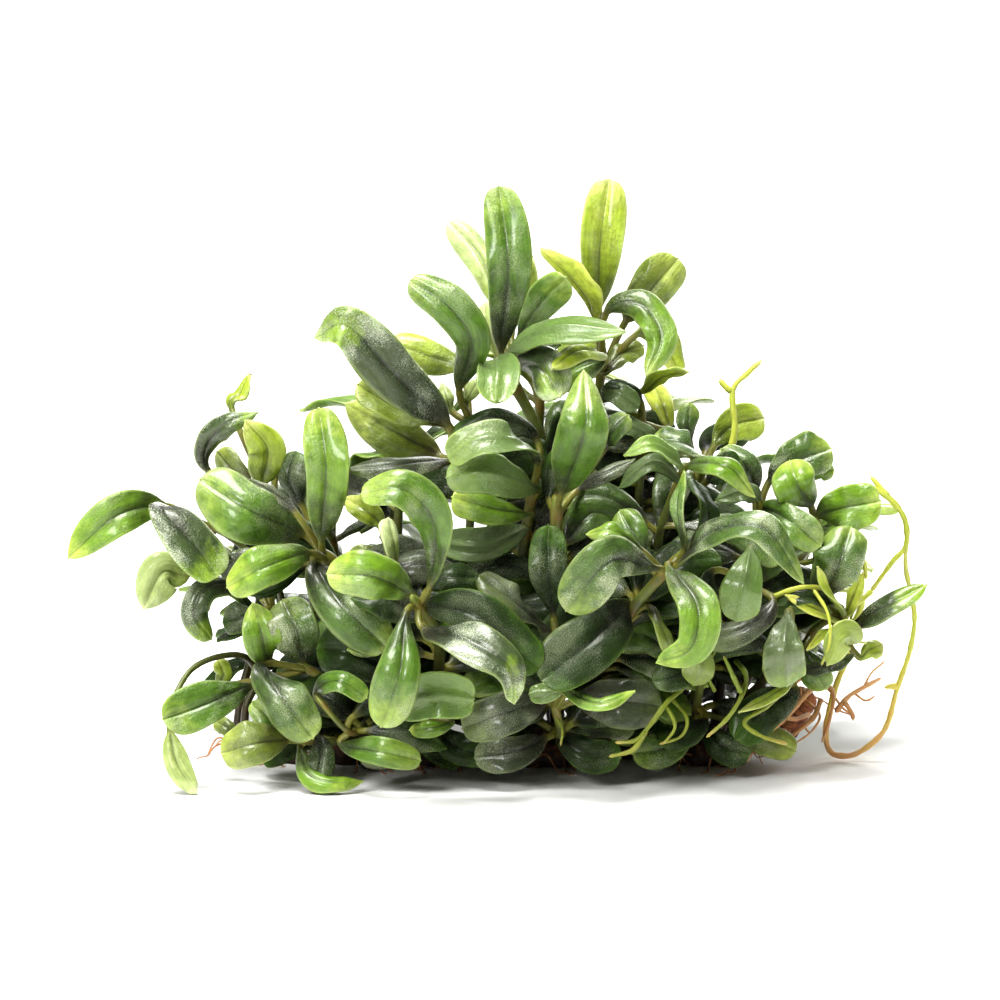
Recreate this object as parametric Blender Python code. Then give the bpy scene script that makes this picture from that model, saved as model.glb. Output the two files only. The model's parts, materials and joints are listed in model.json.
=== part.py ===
"""A clump of bucephalandra, a small aquarium plant with a creeping rhizome.

Rhizomes lie on the ground and are cut flat underneath. Shoots rise from them,
each a stem with its leaves, and yellow roots loop out at the right and at the
bottom. Lengths in the tables are in millimetres. The front shoots are laid out
as seen from the front, ten degrees above level: a point is (across, up, back).
The rhizomes, the feet of the stems and the shoots behind use plain x, y and z.
"""

import math

import bmesh
import bpy
from mathutils import Vector
from mathutils.bvhtree import BVHTree

MM = 0.001
WELD = 0.00001
VIEW_TILT = math.radians(10)
SHIFT_X = 0.3
SHIFT_Y = -1.18
CURVE_STEPS = 12

LEAF_THICKNESS = 0.62
LEAF_RINGS = (0.0, 0.24, 0.6, 0.9)
SMALL_LEAF_RINGS = (0.0, 0.35, 0.8)
SMALL_LEAF_WIDTH = 4.65
EDGE_DROOP = 0.12
PETIOLE_RADIUS = 0.36
PATH_POINTS = 25
FACING_PULL = 0.6
NODE_SPACING = 0.25
CLEARANCE = 0.34
GROUND_LIFT = 0.34
SHARP_ANGLE = math.radians(50)

# A leaf that would touch another one sways until it is clear: its tip leans
# and its whole blade slides, to the back or to the front. The lean grows with
# the distance along the leaf, and the slide comes in near the stem. A slide
# counts for a little more than a lean of the same size.
LEANS = (0, 1, -1, 2, -2, 3, -3, 4.5, -4.5, 6, -6, 8, -8)
SLIDES = (0, 1, -1, 2, -2, 3.2, -3.2, 4.5, -4.5, 6, -6)
LEAN_POWER = 1.6
SLIDE_ONSET = 2.5
SLIDE_COST = 1.3

RHIZOME_SINK = 0.55
RHIZOME_TAPER = 0.15
RHIZOME_KNOBS = 0.13
KNOB_PITCH = 2.2
ROOT_TAPER = 0.35
ROOT_LIFT = 1.12
LONG_STRAND = 6
STEM_TAPER = 0.25
THICK_STEM = 0.7
FOOT_GAP = 0.4
FOOT_RISE = 2.2
STEM_BENDS = 5
STEM_END = 2
SPAN_STEPS = 8

# The fan of leaves of a shoot behind. Each leaf turns on by the golden share of
# the spread, rises less than the one before, and hangs over in its outer half.
GOLDEN_SHARE = 0.618
FIRST_SHARE = 0.3
FIRST_RISE = 48
LESS_RISE = 11
RISE_CHANGE = 6
HANG = math.radians(45)
REACH_LEAST = 0.82
REACH_CHANGE = 0.18
STALK_OUT = 1.2
STALK_DROP = 0.7
FAN_OUTLINES = ("oblong", "lance", "oblong", "spoon", "lance", "oblong")
FAN_FACING_UP = 0.9
FAN_FACING_OUT = 0.45
KNEE_SHARE = 0.6
KNEE_DROP = 0.1

# How far along the blade its widest place is, and how blunt its tip is, come
# from these two powers: half width = along ** first * (1 - along) ** second.
OUTLINES = {
    "oblong": (0.58, 0.32),
    "lance": (0.66, 0.66),
    "spoon": (0.9, 0.38),
}

# The way the upper face of a leaf looks.
FACINGS = {
    "front": Vector((0.0, -1.0, 0.3)),
    "up": Vector((0.0, -0.7, 0.75)),
    "left": Vector((-0.75, -0.7, 0.2)),
    "right": Vector((0.75, -0.7, 0.2)),
    "under": Vector((0.0, -0.8, -0.6)),
}

# Colour, then roughness.
TONES = {
    "lime": ((0.36, 0.50, 0.08), 0.35),
    "fresh": ((0.20, 0.36, 0.07), 0.32),
    "pale": ((0.42, 0.50, 0.20), 0.45),
    "green": ((0.09, 0.20, 0.05), 0.28),
    "moss": ((0.13, 0.17, 0.04), 0.32),
    "deep": ((0.03, 0.075, 0.03), 0.25),
    "silver": ((0.08, 0.13, 0.08), 0.22),
    "dusk": ((0.10, 0.10, 0.10), 0.30),
    "stem": ((0.30, 0.30, 0.06), 0.40),
    "root": ((0.62, 0.50, 0.08), 0.45),
    "brown root": ((0.26, 0.13, 0.05), 0.60),
    "rhizome": ((0.22, 0.08, 0.04), 0.60),
}

# Each rhizome: radius, then the points of its axis. They keep clear of each
# other at the forks.
RHIZOMES = {
    "rhizome_main": (
        1.5,
        ((-17, 0.6), (-8, 3), (2, 2.4), (12, 4), (21.5, 4.4), (28.3, 2.8, 3.3), (31.2, 1.6, 7)),
    ),
    "rhizome_left": (1.15, ((-19.4, 1.4), (-23, 2.6), (-25.6, 5.6), (-26.6, 9))),
    "rhizome_front": (1.15, ((-6, -0.1), (-9.5, -0.7), (-13.8, -2.3))),
    "rhizome_centre_front": (1.15, ((8.4, 0), (5.4, -0.5), (1.4, -0.9))),
    "rhizome_right_front": (1.15, ((17.6, 1.2), (20.2, 0.5), (23.8, -0.7))),
    "rhizome_back_left": (1.3, ((-10.4, 6.4), (-12.5, 10.6), (-17, 16))),
    "rhizome_back": (1.35, ((3.4, 6), (5, 10.5), (9.5, 17))),
    "rhizome_back_right": (1.25, ((17.8, 8.2), (21, 12.5), (24, 17.5))),
}

# Each shoot seen from the front: the foot (x, y) of its stem on a rhizome, the
# stem's radius and its other points, then its leaves. A leaf is its outline,
# the way it faces, its width, its tone, and its points from base to tip.
FRONT_SHOOTS = {
    "shoot_top_centre": (
        (3.2, 2.5), 0.75, ((4.0, 24.5, -3), (4.5, 31.0, 0), (1.5, 36.0, 2), (0.3, 40.3, 2)),
        (
            ("oblong", "front", 4.6, "green", (0.1, 41.5, 1), (0.8, 49.7, -1), (-0.1, 57.8, 2)),
            ("lance", "up", 3.8, "green", (0.9, 41.2, -3), (6.0, 43.6, -7), (12.4, 43.2, -9)),
            ("spoon", "front", 3.7, "green", (1.9, 42.5, 0), (4.1, 46.2, -2), (6.6, 48.7, -4)),
            ("spoon", "front", 4.4, "green", (0.1, 40.7, -3), (-0.2, 39.3, -9), (-0.4, 36.2, -12)),
            ("spoon", "front", 4.4, "silver", (1.3, 39.6, -2), (3.9, 39.7, -7), (6.0, 36.8, -9)),
            ("oblong", "front", 3.2, "pale", (0.0, 45.4, 8), (-1.9, 50.8, 12), (-5.1, 54.4, 15)),
            ("lance", "left", 2.8, "moss", (1.2, 43.5, 6), (2.8, 47.5, 8), (3.2, 50.9, 9)),
            ("oblong", "left", 2.6, "pale", (-0.3, 41.1, 4), (-1.1, 43.6, 5), (-1.4, 46.2, 7)),
        ),
    ),
    "shoot_top_right": (
        (8.2, 3.4), 0.6, ((9.0, 26.5, 2), (9.6, 33.5, 4), (10.5, 38.0, 5), (10.4, 42.0, 5)),
        (
            ("oblong", "front", 4.5, "lime", (9.9, 45.8, 4), (10.0, 52.2, 3), (10.9, 58.5, 5)),
            ("lance", "left", 4.2, "lime", (9.6, 44.6, 2), (7.6, 48.2, 0), (4.1, 51.5, -2)),
            ("oblong", "front", 4.6, "moss", (12.6, 44.4, 6), (15.2, 47.6, 7), (17.8, 50.7, 8)),
            (
                "lance", "up", 3.5, "fresh",
                (10.6, 45.2, 0), (14.0, 46.0, -2), (16.0, 42.7, -4), (14.6, 38.9, -5),
            ),
            ("oblong", "right", 3.5, "lime", (13.6, 43.0, 4), (16.0, 43.0, 6), (17.9, 39.3, 5)),
            ("lance", "under", 2.0, "fresh", (14.0, 37.3, 5), (16.2, 38.9, 4), (18.8, 39.3, 4)),
            ("oblong", "up", 2.6, "moss", (10.7, 39.3, 3), (12.2, 41.1, 4), (14.3, 41.9, 5)),
            ("lance", "up", 3.0, "lime", (10.4, 40.8, -1), (7.8, 41.3, -5), (5.2, 39.5, -8)),
        ),
    ),
    "shoot_twist": (
        (-2.6, 2.8), 0.5, ((0.0, 24.5, -3), (-2.2, 31.5, -3), (-4.0, 36.7, -3)),
        (
            (
                "oblong", "front", 4.2, "green",
                (-4.1, 37.6, -4), (-2.8, 42.0, -7), (-4.9, 45.5, -7), (-8.9, 48.3, -5),
            ),
            ("oblong", "front", 3.8, "lime", (-3.8, 39.3, 0), (-7.5, 41.0, 1), (-11.0, 42.2, 2)),
        ),
    ),
    "shoot_left_top": (
        (-6.0, 3.0), 0.55, ((-3.0, 25.5, -6), (-4.8, 29.5, -5), (-5.1, 33.7, -5)),
        (
            (
                "lance", "front", 5.3, "silver",
                (-5.2, 34.1, -6), (-10.3, 38.9, -10), (-15.2, 43.8, -12), (-18.4, 42.6, -9),
            ),
            ("spoon", "up", 4.0, "moss", (-5.5, 33.9, -3), (-10.0, 35.5, -5), (-14.2, 38.0, -5)),
            ("lance", "front", 4.7, "moss", (-6.0, 30.9, -1), (-10.5, 33.3, -2), (-15.4, 36.1, -1)),
            ("lance", "up", 3.1, "dusk", (-5.4, 30.3, -5), (-10.0, 30.0, -9), (-15.2, 29.5, -9)),
        ),
    ),
    "shoot_centre_left": (
        (0.4, 2.5), 0.7, ((2.2, 20.5, -5), (2.6, 24.5, -7), (3.5, 28.7, -8)),
        (
            ("oblong", "up", 3.0, "deep", (3.8, 32.3, -5), (-0.5, 34.8, -6), (-4.7, 32.9, -6)),
            (
                "oblong", "up", 4.2, "silver",
                (3.7, 30.2, -8), (1.4, 32.3, -12), (-1.8, 32.6, -13), (-5.0, 30.5, -12),
            ),
            ("oblong", "front", 4.3, "green", (3.5, 27.5, -9), (-1.0, 29.1, -15), (-5.3, 28.7, -14)),
            ("spoon", "front", 3.6, "fresh", (2.9, 25.0, -8), (-1.0, 25.7, -11), (-4.7, 26.8, -12)),
            ("oblong", "front", 3.5, "deep", (2.6, 23.7, -7), (-1.5, 21.9, -9), (-5.7, 22.2, -8)),
        ),
    ),
    "shoot_centre": (
        (5.7, 2.9), 0.8, ((5.6, 20.5, -10), (4.5, 24.0, -12), (5.6, 26.8, -12)),
        (
            ("lance", "front", 5.2, "green", (6.1, 27.2, -13), (8.4, 33.3, -18), (8.3, 39.3, -14)),
            ("oblong", "left", 2.6, "deep", (4.9, 26.5, -9), (4.8, 28.7, -8), (5.3, 31.5, -6)),
            ("spoon", "up", 2.9, "silver", (10.2, 31.3, -4), (11.4, 33.3, -5), (12.8, 34.9, -5)),
        ),
    ),
    "shoot_upper_right": (
        (12.0, 4.0), 0.55, ((14.0, 28.5, 0), (14.6, 32.5, 2), (14.2, 36.5, 2)),
        (
            ("oblong", "up", 2.8, "deep", (10.4, 37.3, 1), (12.0, 37.0, -1), (13.8, 35.7, -1)),
            ("oblong", "up", 2.6, "lime", (16.7, 33.7, 6), (16.2, 36.2, 8.5), (15.2, 38.5, 12)),
            ("oblong", "up", 2.8, "deep", (15.5, 31.8, -2), (13.6, 33.5, -2), (11.0, 33.9, -2)),
        ),
    ),
    "shoot_right_mid": (
        (14.8, 4.3), 0.5, ((16.0, 24.5, -8), (16.8, 27.3, -10), (18.3, 29.7, -11)),
        (
            ("lance", "up", 2.1, "fresh", (18.1, 29.6, -12), (15.2, 31.9, -15), (12.4, 30.9, -15)),
            ("lance", "up", 2.2, "deep", (17.9, 28.3, -11), (15.2, 30.2, -13), (11.9, 27.7, -13)),
            ("lance", "up", 2.7, "fresh", (18.6, 29.8, -12), (22.5, 29.8, -16), (25.2, 26.8, -15)),
        ),
    ),
    "shoot_right_front": (
        (7.9, -0.1), 0.7, ((11.2, 12.5, -12), (13.2, 15.7, -15), (16.8, 19.9, -17), (18.6, 21.7, -16)),
        (
            ("spoon", "front", 5.2, "silver", (15.6, 19.7, -18), (11.0, 20.5, -24), (6.6, 15.6, -22)),
            (
                "lance", "front", 4.2, "fresh",
                (16.7, 19.8, -18), (19.4, 16.5, -23), (19.0, 12.0, -24), (15.6, 10.4, -23),
            ),
            (
                "lance", "up", 3.6, "silver",
                (17.8, 20.2, -17), (21.2, 23.3, -20), (26.2, 23.5, -22), (30.0, 18.3, -21),
            ),
            ("oblong", "front", 6.2, "deep", (12.8, 15.9, -15), (9.0, 12.5, -20), (4.1, 8.6, -21)),
            ("spoon", "front", 3.4, "green", (14.5, 20.5, -15), (13.3, 23.0, -15), (12.0, 25.4, -13)),
            ("lance", "up", 2.4, "fresh", (14.0, 21.5, -17), (11.2, 23.3, -19), (8.6, 23.1, -18)),
            ("lance", "left", 2.1, "green", (18.3, 21.7, -17), (17.7, 25.5, -18), (18.3, 29.3, -14)),
            ("oblong", "right", 2.9, "deep", (19.0, 21.7, -15), (20.6, 25.0, -15), (19.2, 28.5, -12)),
        ),
    ),
    "shoot_right_arch": (
        (18.4, 1.0), 0.55, ((23.5, 15.5, -9), (24.5, 19.0, -11), (25.0, 21.7, -13)),
        (
            ("spoon", "front", 4.3, "green", (24.8, 21.7, -16), (24.2, 18.0, -20), (23.4, 14.5, -19)),
            ("oblong", "up", 3.3, "dusk", (27.2, 16.5, -12), (24.5, 13.7, -15), (20.2, 12.4, -15)),
            ("oblong", "right", 3.5, "deep", (21.2, 19.5, -12), (20.6, 16.5, -13), (21.5, 12.5, -12)),
        ),
    ),
    "shoot_right_upper": (
        (21.6, 4.4), 0.6, ((24.5, 18.5, -3), (25.2, 22.5, -4), (25.8, 25.8, -5)),
        (
            ("oblong", "up", 3.7, "silver", (25.4, 27.3, -4), (24.5, 29.7, -5), (22.1, 31.6, -4)),
            ("spoon", "front", 4.7, "silver", (26.8, 28.2, -3), (29.2, 30.2, -4), (33.0, 31.6, -3)),
            ("oblong", "front", 3.7, "green", (26.2, 25.7, -6), (29.0, 24.3, -10), (31.9, 21.9, -10)),
            ("lance", "up", 2.6, "deep", (25.8, 26.5, -8), (24.0, 27.3, -9), (21.6, 26.5, -9)),
        ),
    ),
    "shoot_right_side": (
        (25.3, 3.8), 0.6, ((30.8, 16.5, -2), (31.5, 20.5, -3), (31.7, 25.0, -4)),
        (
            ("oblong", "front", 4.5, "fresh", (31.0, 25.9, -6), (29.6, 28.0, -9), (28.9, 30.4, -7)),
            ("oblong", "front", 4.6, "silver", (31.8, 24.9, -5), (34.6, 25.8, -7), (37.9, 26.4, -7)),
            ("oblong", "right", 2.2, "fresh", (30.8, 28.0, 1), (32.0, 29.3, 1), (33.3, 29.5, 2)),
        ),
    ),
    "shoot_right_low": (
        (27.6, 3.0), 0.55, ((31.0, 12.5, -2), (32.6, 15.0, -5), (34.5, 15.5, -6)),
        (
            ("oblong", "front", 5.2, "silver", (32.4, 16.5, -7), (33.7, 20.0, -11), (34.9, 23.6, -9)),
            ("lance", "up", 3.1, "silver", (35.2, 14.0, -6), (38.8, 16.1, -8), (42.5, 17.9, -7)),
            ("lance", "up", 1.9, "deep", (33.8, 15.9, -9), (30.0, 16.8, -12), (26.4, 15.8, -12)),
            ("lance", "front", 3.1, "lime", (35.5, 12.5, -9), (34.2, 12.9, -12), (32.6, 10.1, -12)),
            ("spoon", "front", 2.1, "lime", (35.7, 10.9, -5), (36.8, 11.5, -5), (38.2, 12.0, -4)),
        ),
    ),
    "shoot_right_speckled": (
        (22.7, -0.3), 0.5, ((28.0, 10.5, -8), (29.0, 14.0, -11), (28.9, 15.9, -13)),
        (
            ("spoon", "front", 4.4, "silver", (28.6, 15.3, -14), (28.2, 11.5, -18), (28.5, 7.9, -16)),
            ("oblong", "front", 4.4, "deep", (29.5, 7.7, -7), (26.5, 5.7, -10), (23.5, 2.6, -11)),
        ),
    ),
    "shoot_left": (
        (-15.4, 1.1), 0.95, ((-14.0, 14.5, -3), (-15.5, 19.5, -6), (-18.2, 21.6, -7)),
        (
            ("oblong", "front", 4.5, "fresh", (-17.8, 22.5, -8), (-17.3, 29.5, -11), (-18.0, 35.6, -9)),
            ("oblong", "front", 6.2, "green", (-19.6, 23.1, -8), (-24.5, 25.3, -13), (-29.8, 28.5, -10)),
            ("oblong", "front", 4.3, "fresh", (-19.0, 21.2, -10), (-23.2, 19.9, -15), (-27.1, 17.8, -14)),
            ("oblong", "front", 5.3, "silver", (-18.6, 20.3, -9), (-15.5, 15.9, -16), (-11.2, 11.7, -17)),
            ("oblong", "left", 3.7, "deep", (-19.8, 26.0, -4), (-21.0, 28.7, -4), (-20.3, 31.3, -3)),
        ),
    ),
    "shoot_front": (
        (-6.9, -0.2), 0.7, ((-6.0, 11.5, -12), (-7.2, 15.0, -16), (-8.8, 17.0, -19)),
        (
            (
                "lance", "up", 4.8, "silver",
                (-7.6, 13.7, -20), (-3.5, 12.7, -25), (0.8, 10.1, -27), (1.4, 6.4, -25),
            ),
            ("spoon", "front", 4.8, "green", (-9.3, 15.3, -20), (-9.9, 9.5, -25), (-11.8, 4.0, -24)),
            ("oblong", "front", 4.8, "fresh", (-8.9, 17.1, -20), (-12.5, 18.9, -25), (-17.1, 19.2, -24)),
            (
                "oblong", "up", 4.3, "green",
                (-6.9, 18.1, -19), (-6.4, 24.0, -23), (-9.5, 27.5, -25), (-13.7, 27.1, -24),
            ),
            ("oblong", "front", 4.8, "deep", (-7.4, 16.1, -17), (-1.8, 14.7, -21), (3.8, 9.7, -21)),
            ("spoon", "up", 3.5, "deep", (-7.2, 17.5, -16), (-4.8, 18.8, -17), (-2.1, 18.8, -16)),
        ),
    ),
    "shoot_mid_left": (
        (-11.4, 2.3), 0.5, ((-10.0, 12.5, -6), (-10.2, 16.5, -8), (-10.5, 18.8, -9)),
        (
            ("spoon", "right", 3.0, "pale", (-10.4, 19.1, -9), (-10.7, 22.0, -12), (-11.2, 24.6, -11)),
            ("lance", "front", 2.5, "lime", (-11.8, 23.6, -5), (-13.4, 25.4, -5), (-15.5, 26.6, -3)),
            ("lance", "front", 2.2, "moss", (-12.0, 20.4, 0), (-13.6, 20.9, 0), (-15.4, 20.4, 1)),
            ("oblong", "front", 6.0, "deep", (-10.2, 9.7, -9), (-14.5, 11.3, -12), (-18.2, 11.7, -10)),
        ),
    ),
    "shoot_left_far_top": (
        (-21.9, 2.1), 0.5, ((-18.5, 17.0, 1), (-20.8, 23.5, 2), (-23.8, 27.5, 3)),
        (
            ("lance", "front", 3.9, "lime", (-23.8, 27.9, 1), (-23.2, 31.5, -1), (-25.4, 34.4, -1)),
            (
                "lance", "up", 2.6, "silver",
                (-29.0, 29.2, 2), (-29.3, 31.9, 1), (-27.2, 34.1, -1), (-24.3, 35.2, 0),
            ),
            ("lance", "left", 2.1, "lime", (-26.8, 35.3, 6), (-26.0, 37.0, 7), (-25.1, 39.1, 8)),
            ("oblong", "left", 2.9, "moss", (-25.0, 28.3, 2), (-26.8, 29.7, 2), (-28.3, 31.3, 3)),
        ),
    ),
    "shoot_left_far": (
        (-24.7, 4.3), 0.42, ((-22.0, 17.0, 3), (-26.0, 22.0, 2), (-31.0, 24.5, 1), (-33.2, 25.7, 1)),
        (
            ("lance", "front", 4.3, "fresh", (-33.5, 25.9, 0), (-38.2, 25.0, -3), (-43.1, 20.7, -3)),
            ("oblong", "up", 5.6, "silver", (-34.4, 26.0, -3), (-31.6, 23.4, -6), (-28.3, 18.7, -7)),
            ("lance", "front", 4.4, "pale", (-31.2, 19.1, 2), (-33.8, 19.3, 1), (-35.7, 15.6, 1)),
        ),
    ),
    "shoot_left_curl": (
        (-20.4, 1.6), 0.45, ((-18.5, 12.0, -3), (-21.5, 15.0, -3), (-24.0, 16.5, -2)),
        (
            (
                "oblong", "up", 3.0, "silver",
                (-24.2, 17.6, -3), (-28.9, 18.0, -5), (-30.5, 15.3, -6), (-28.9, 12.6, -5),
            ),
            ("spoon", "front", 3.2, "deep", (-23.8, 15.3, -4), (-25.7, 14.8, -5), (-27.6, 14.3, -4)),
            ("oblong", "front", 2.8, "dusk", (-23.8, 20.3, -4), (-26.0, 20.3, -5), (-27.6, 18.7, -5)),
        ),
    ),
    "shoot_left_low": (
        (-10.2, -0.9), 0.55, ((-13.0, 6.5, -7), (-17.0, 8.2, -8), (-20.2, 10.3, -8)),
        (
            ("oblong", "front", 4.9, "silver", (-19.7, 10.5, -8), (-20.2, 13.5, -11), (-21.6, 16.5, -9)),
            ("lance", "front", 3.9, "fresh", (-23.0, 10.5, -9), (-23.7, 13.1, -11), (-24.6, 16.2, -10)),
            ("oblong", "front", 4.9, "silver", (-23.6, 10.1, -10), (-21.6, 6.8, -15), (-18.6, 2.8, -15)),
            ("spoon", "front", 4.7, "green", (-24.5, 8.1, -9), (-29.0, 6.3, -12), (-33.5, 4.7, -14)),
        ),
    ),
    "shoot_left_trailing": (
        (-23.3, 2.8), 0.38, ((-25.0, 10.2, -4), (-28.2, 11.8, -6), (-31.6, 8.4, -9), (-33.5, 4.8, -12)),
        (("lance", "front", 2.6, "pale", (-32.8, 3.5, -14), (-32.1, 0.2, -16), (-30.1, -2.8, -17)),),
    ),
    "shoot_left_bottom": (
        (-13.2, -2.1), 0.5, ((-15.5, 2.4, -10), (-18.0, 2.6, -11.5), (-20.4, 2.6, -12.5)),
        (
            ("oblong", "front", 4.7, "moss", (-21.2, 2.6, -13), (-24.3, 2.3, -16), (-27.6, 1.3, -15)),
            ("oblong", "front", 2.8, "green", (-20.8, 3.0, -11), (-22.7, 4.6, -13), (-24.6, 6.4, -12)),
            (
                "lance", "up", 2.2, "fresh",
                (-19.9, 1.8, -12), (-19.0, -0.8, -15), (-16.8, -1.6, -16), (-13.7, -1.5, -15),
            ),
            ("oblong", "front", 2.8, "deep", (-18.2, 2.8, -12), (-17.8, 1.0, -14), (-18.2, -1.2, -15)),
        ),
    ),
    "shoot_left_front": (
        (-11.8, -1.5), 0.38, ((-14.0, 3.6, -13), (-17.0, 3.6, -14.5), (-18.2, 6.8, -14)),
        (
            ("oblong", "up", 2.7, "green", (-18.3, 7.3, -13), (-16.0, 8.5, -16), (-13.3, 6.8, -16)),
            ("oblong", "front", 3.0, "green", (-15.8, 2.2, -14), (-11.8, 1.4, -18), (-7.9, 0.6, -17)),
        ),
    ),
    "shoot_front_low": (
        (-8.5, -0.5), 0.5, ((-6.5, 4.5, -10), (-8.5, 5.4, -14), (-9.8, 6.2, -16)),
        (
            ("oblong", "front", 4.7, "green", (-10.4, 5.9, -17), (-6.5, 7.1, -21), (-2.6, 6.8, -20)),
        ),
    ),
    "shoot_front_mid": (
        (3.4, -0.7), 0.55, ((6.0, 3.2, -12), (5.8, 5.0, -14), (5.2, 6.8, -15)),
        (
            ("oblong", "front", 4.5, "dusk", (4.5, 6.5, -15), (0.5, 5.3, -19), (-3.7, 3.8, -18)),
            ("spoon", "front", 2.1, "green", (6.6, 7.7, -17), (4.8, 7.4, -18), (2.9, 7.2, -18)),
            ("oblong", "front", 5.2, "dusk", (7.6, 6.5, -14), (12.0, 6.5, -17), (16.0, 5.9, -16)),
            ("lance", "up", 1.9, "fresh", (6.2, 7.5, -18), (9.8, 6.3, -22), (13.3, 7.5, -21)),
        ),
    ),
    "shoot_centre_low": (
        (5.8, -0.4), 0.5, ((6.4, 9.5, -9), (5.6, 12.5, -12), (5.2, 14.7, -14)),
        (
            ("spoon", "front", 3.9, "deep", (5.3, 15.1, -14), (4.8, 19.3, -18), (4.8, 23.9, -16)),
            ("oblong", "up", 3.7, "dusk", (4.8, 13.5, -13), (1.5, 16.2, -17), (-2.0, 19.0, -16)),
        ),
    ),
    "shoot_bottom_right": (
        (20.4, 0.5), 0.5, ((19.6, 5.5, -6), (20.0, 8.0, -9), (20.6, 11.0, -11)),
        (
            ("spoon", "front", 3.2, "moss", (20.2, 12.0, -14), (19.8, 10.0, -17), (19.2, 8.1, -16)),
            ("oblong", "front", 2.9, "deep", (19.4, 10.0, -12), (17.5, 9.0, -14), (15.2, 8.5, -14)),
            ("oblong", "up", 3.2, "deep", (20.5, 4.5, -8), (18.5, 3.5, -10), (16.0, 2.3, -10)),
            ("oblong", "front", 3.4, "deep", (21.5, 6.0, -5), (24.5, 5.0, -6), (27.5, 3.0, -6)),
        ),
    ),
    "shoot_right_dark": (
        (17.6, 4.5), 0.5, ((20.0, 22.5, 0), (20.3, 26.5, 0), (20.0, 29.9, 0)),
        (
            ("oblong", "up", 3.7, "silver", (20.2, 29.9, -4), (18.4, 32.0, -6), (15.2, 32.5, -5)),
            ("spoon", "front", 2.3, "silver", (19.0, 32.0, 2), (18.8, 34.0, 2), (19.0, 36.2, 3)),
            ("oblong", "front", 3.0, "deep", (20.8, 28.5, -5), (22.2, 29.5, -6), (24.0, 30.5, -5)),
            ("spoon", "front", 4.0, "lime", (21.4, 31.8, 8), (23.5, 34.0, 9), (26.5, 34.7, 10)),
        ),
    ),
}

# Each shoot behind: its foot, its radius, the point where its leaves spread,
# the number of leaves, the middle of the side they spread to in degrees (0 is
# +X, 90 is straight back), how far they spread, and their length, width and tone.
BACK_SHOOTS = {
    "shoot_back_left": ((-13.6, 12.0), 0.6, (-17, 16, 21), 5, 130, 250, 13.5, 4.6, "green"),
    "shoot_back_left_high": ((-11.2, 8.4), 0.6, (-10.0, 11, 30.5), 5, 92, 150, 11.0, 4.2, "fresh"),
    "shoot_back_far_left": ((-26.4, 7.9), 0.5, (-24, 12, 17), 5, 112, 150, 10.5, 4.4, "moss"),
    "shoot_back_low_left": ((-16.2, 15.2), 0.5, (-21, 20, 8), 5, 130, 220, 11.5, 4.4, "deep"),
    "shoot_back_centre": ((5.4, 11.2), 0.65, (-1, 15, 25), 6, 95, 270, 13.5, 4.8, "green"),
    "shoot_back_top": ((3.8, 7.4), 0.6, (4, 11, 37), 5, 80, 250, 12.0, 4.0, "lime"),
    "shoot_back_low": ((8.2, 15.2), 0.5, (3, 20, 11), 5, 100, 240, 12.5, 4.8, "deep"),
    "shoot_back_right": ((22.4, 14.8), 0.6, (20, 15, 22), 5, 70, 260, 13.0, 4.6, "green"),
    "shoot_back_right_high": ((19.2, 10.0), 0.6, (13.2, 11, 29.5), 5, 82, 220, 11.0, 4.2, "moss"),
    "shoot_back_low_right": ((23.6, 16.8), 0.5, (25, 19, 9), 5, 60, 230, 12.0, 4.4, "deep"),
    "shoot_back_side_right": ((23.5, 4.2), 0.5, (30, 9, 20), 5, 40, 200, 11.5, 4.0, "fresh"),
    "shoot_back_side_left": ((-25.7, 6.0), 0.45, (-23.2, 7.6, 13), 4, 125, 120, 9.5, 4.0, "green"),
}

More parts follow.
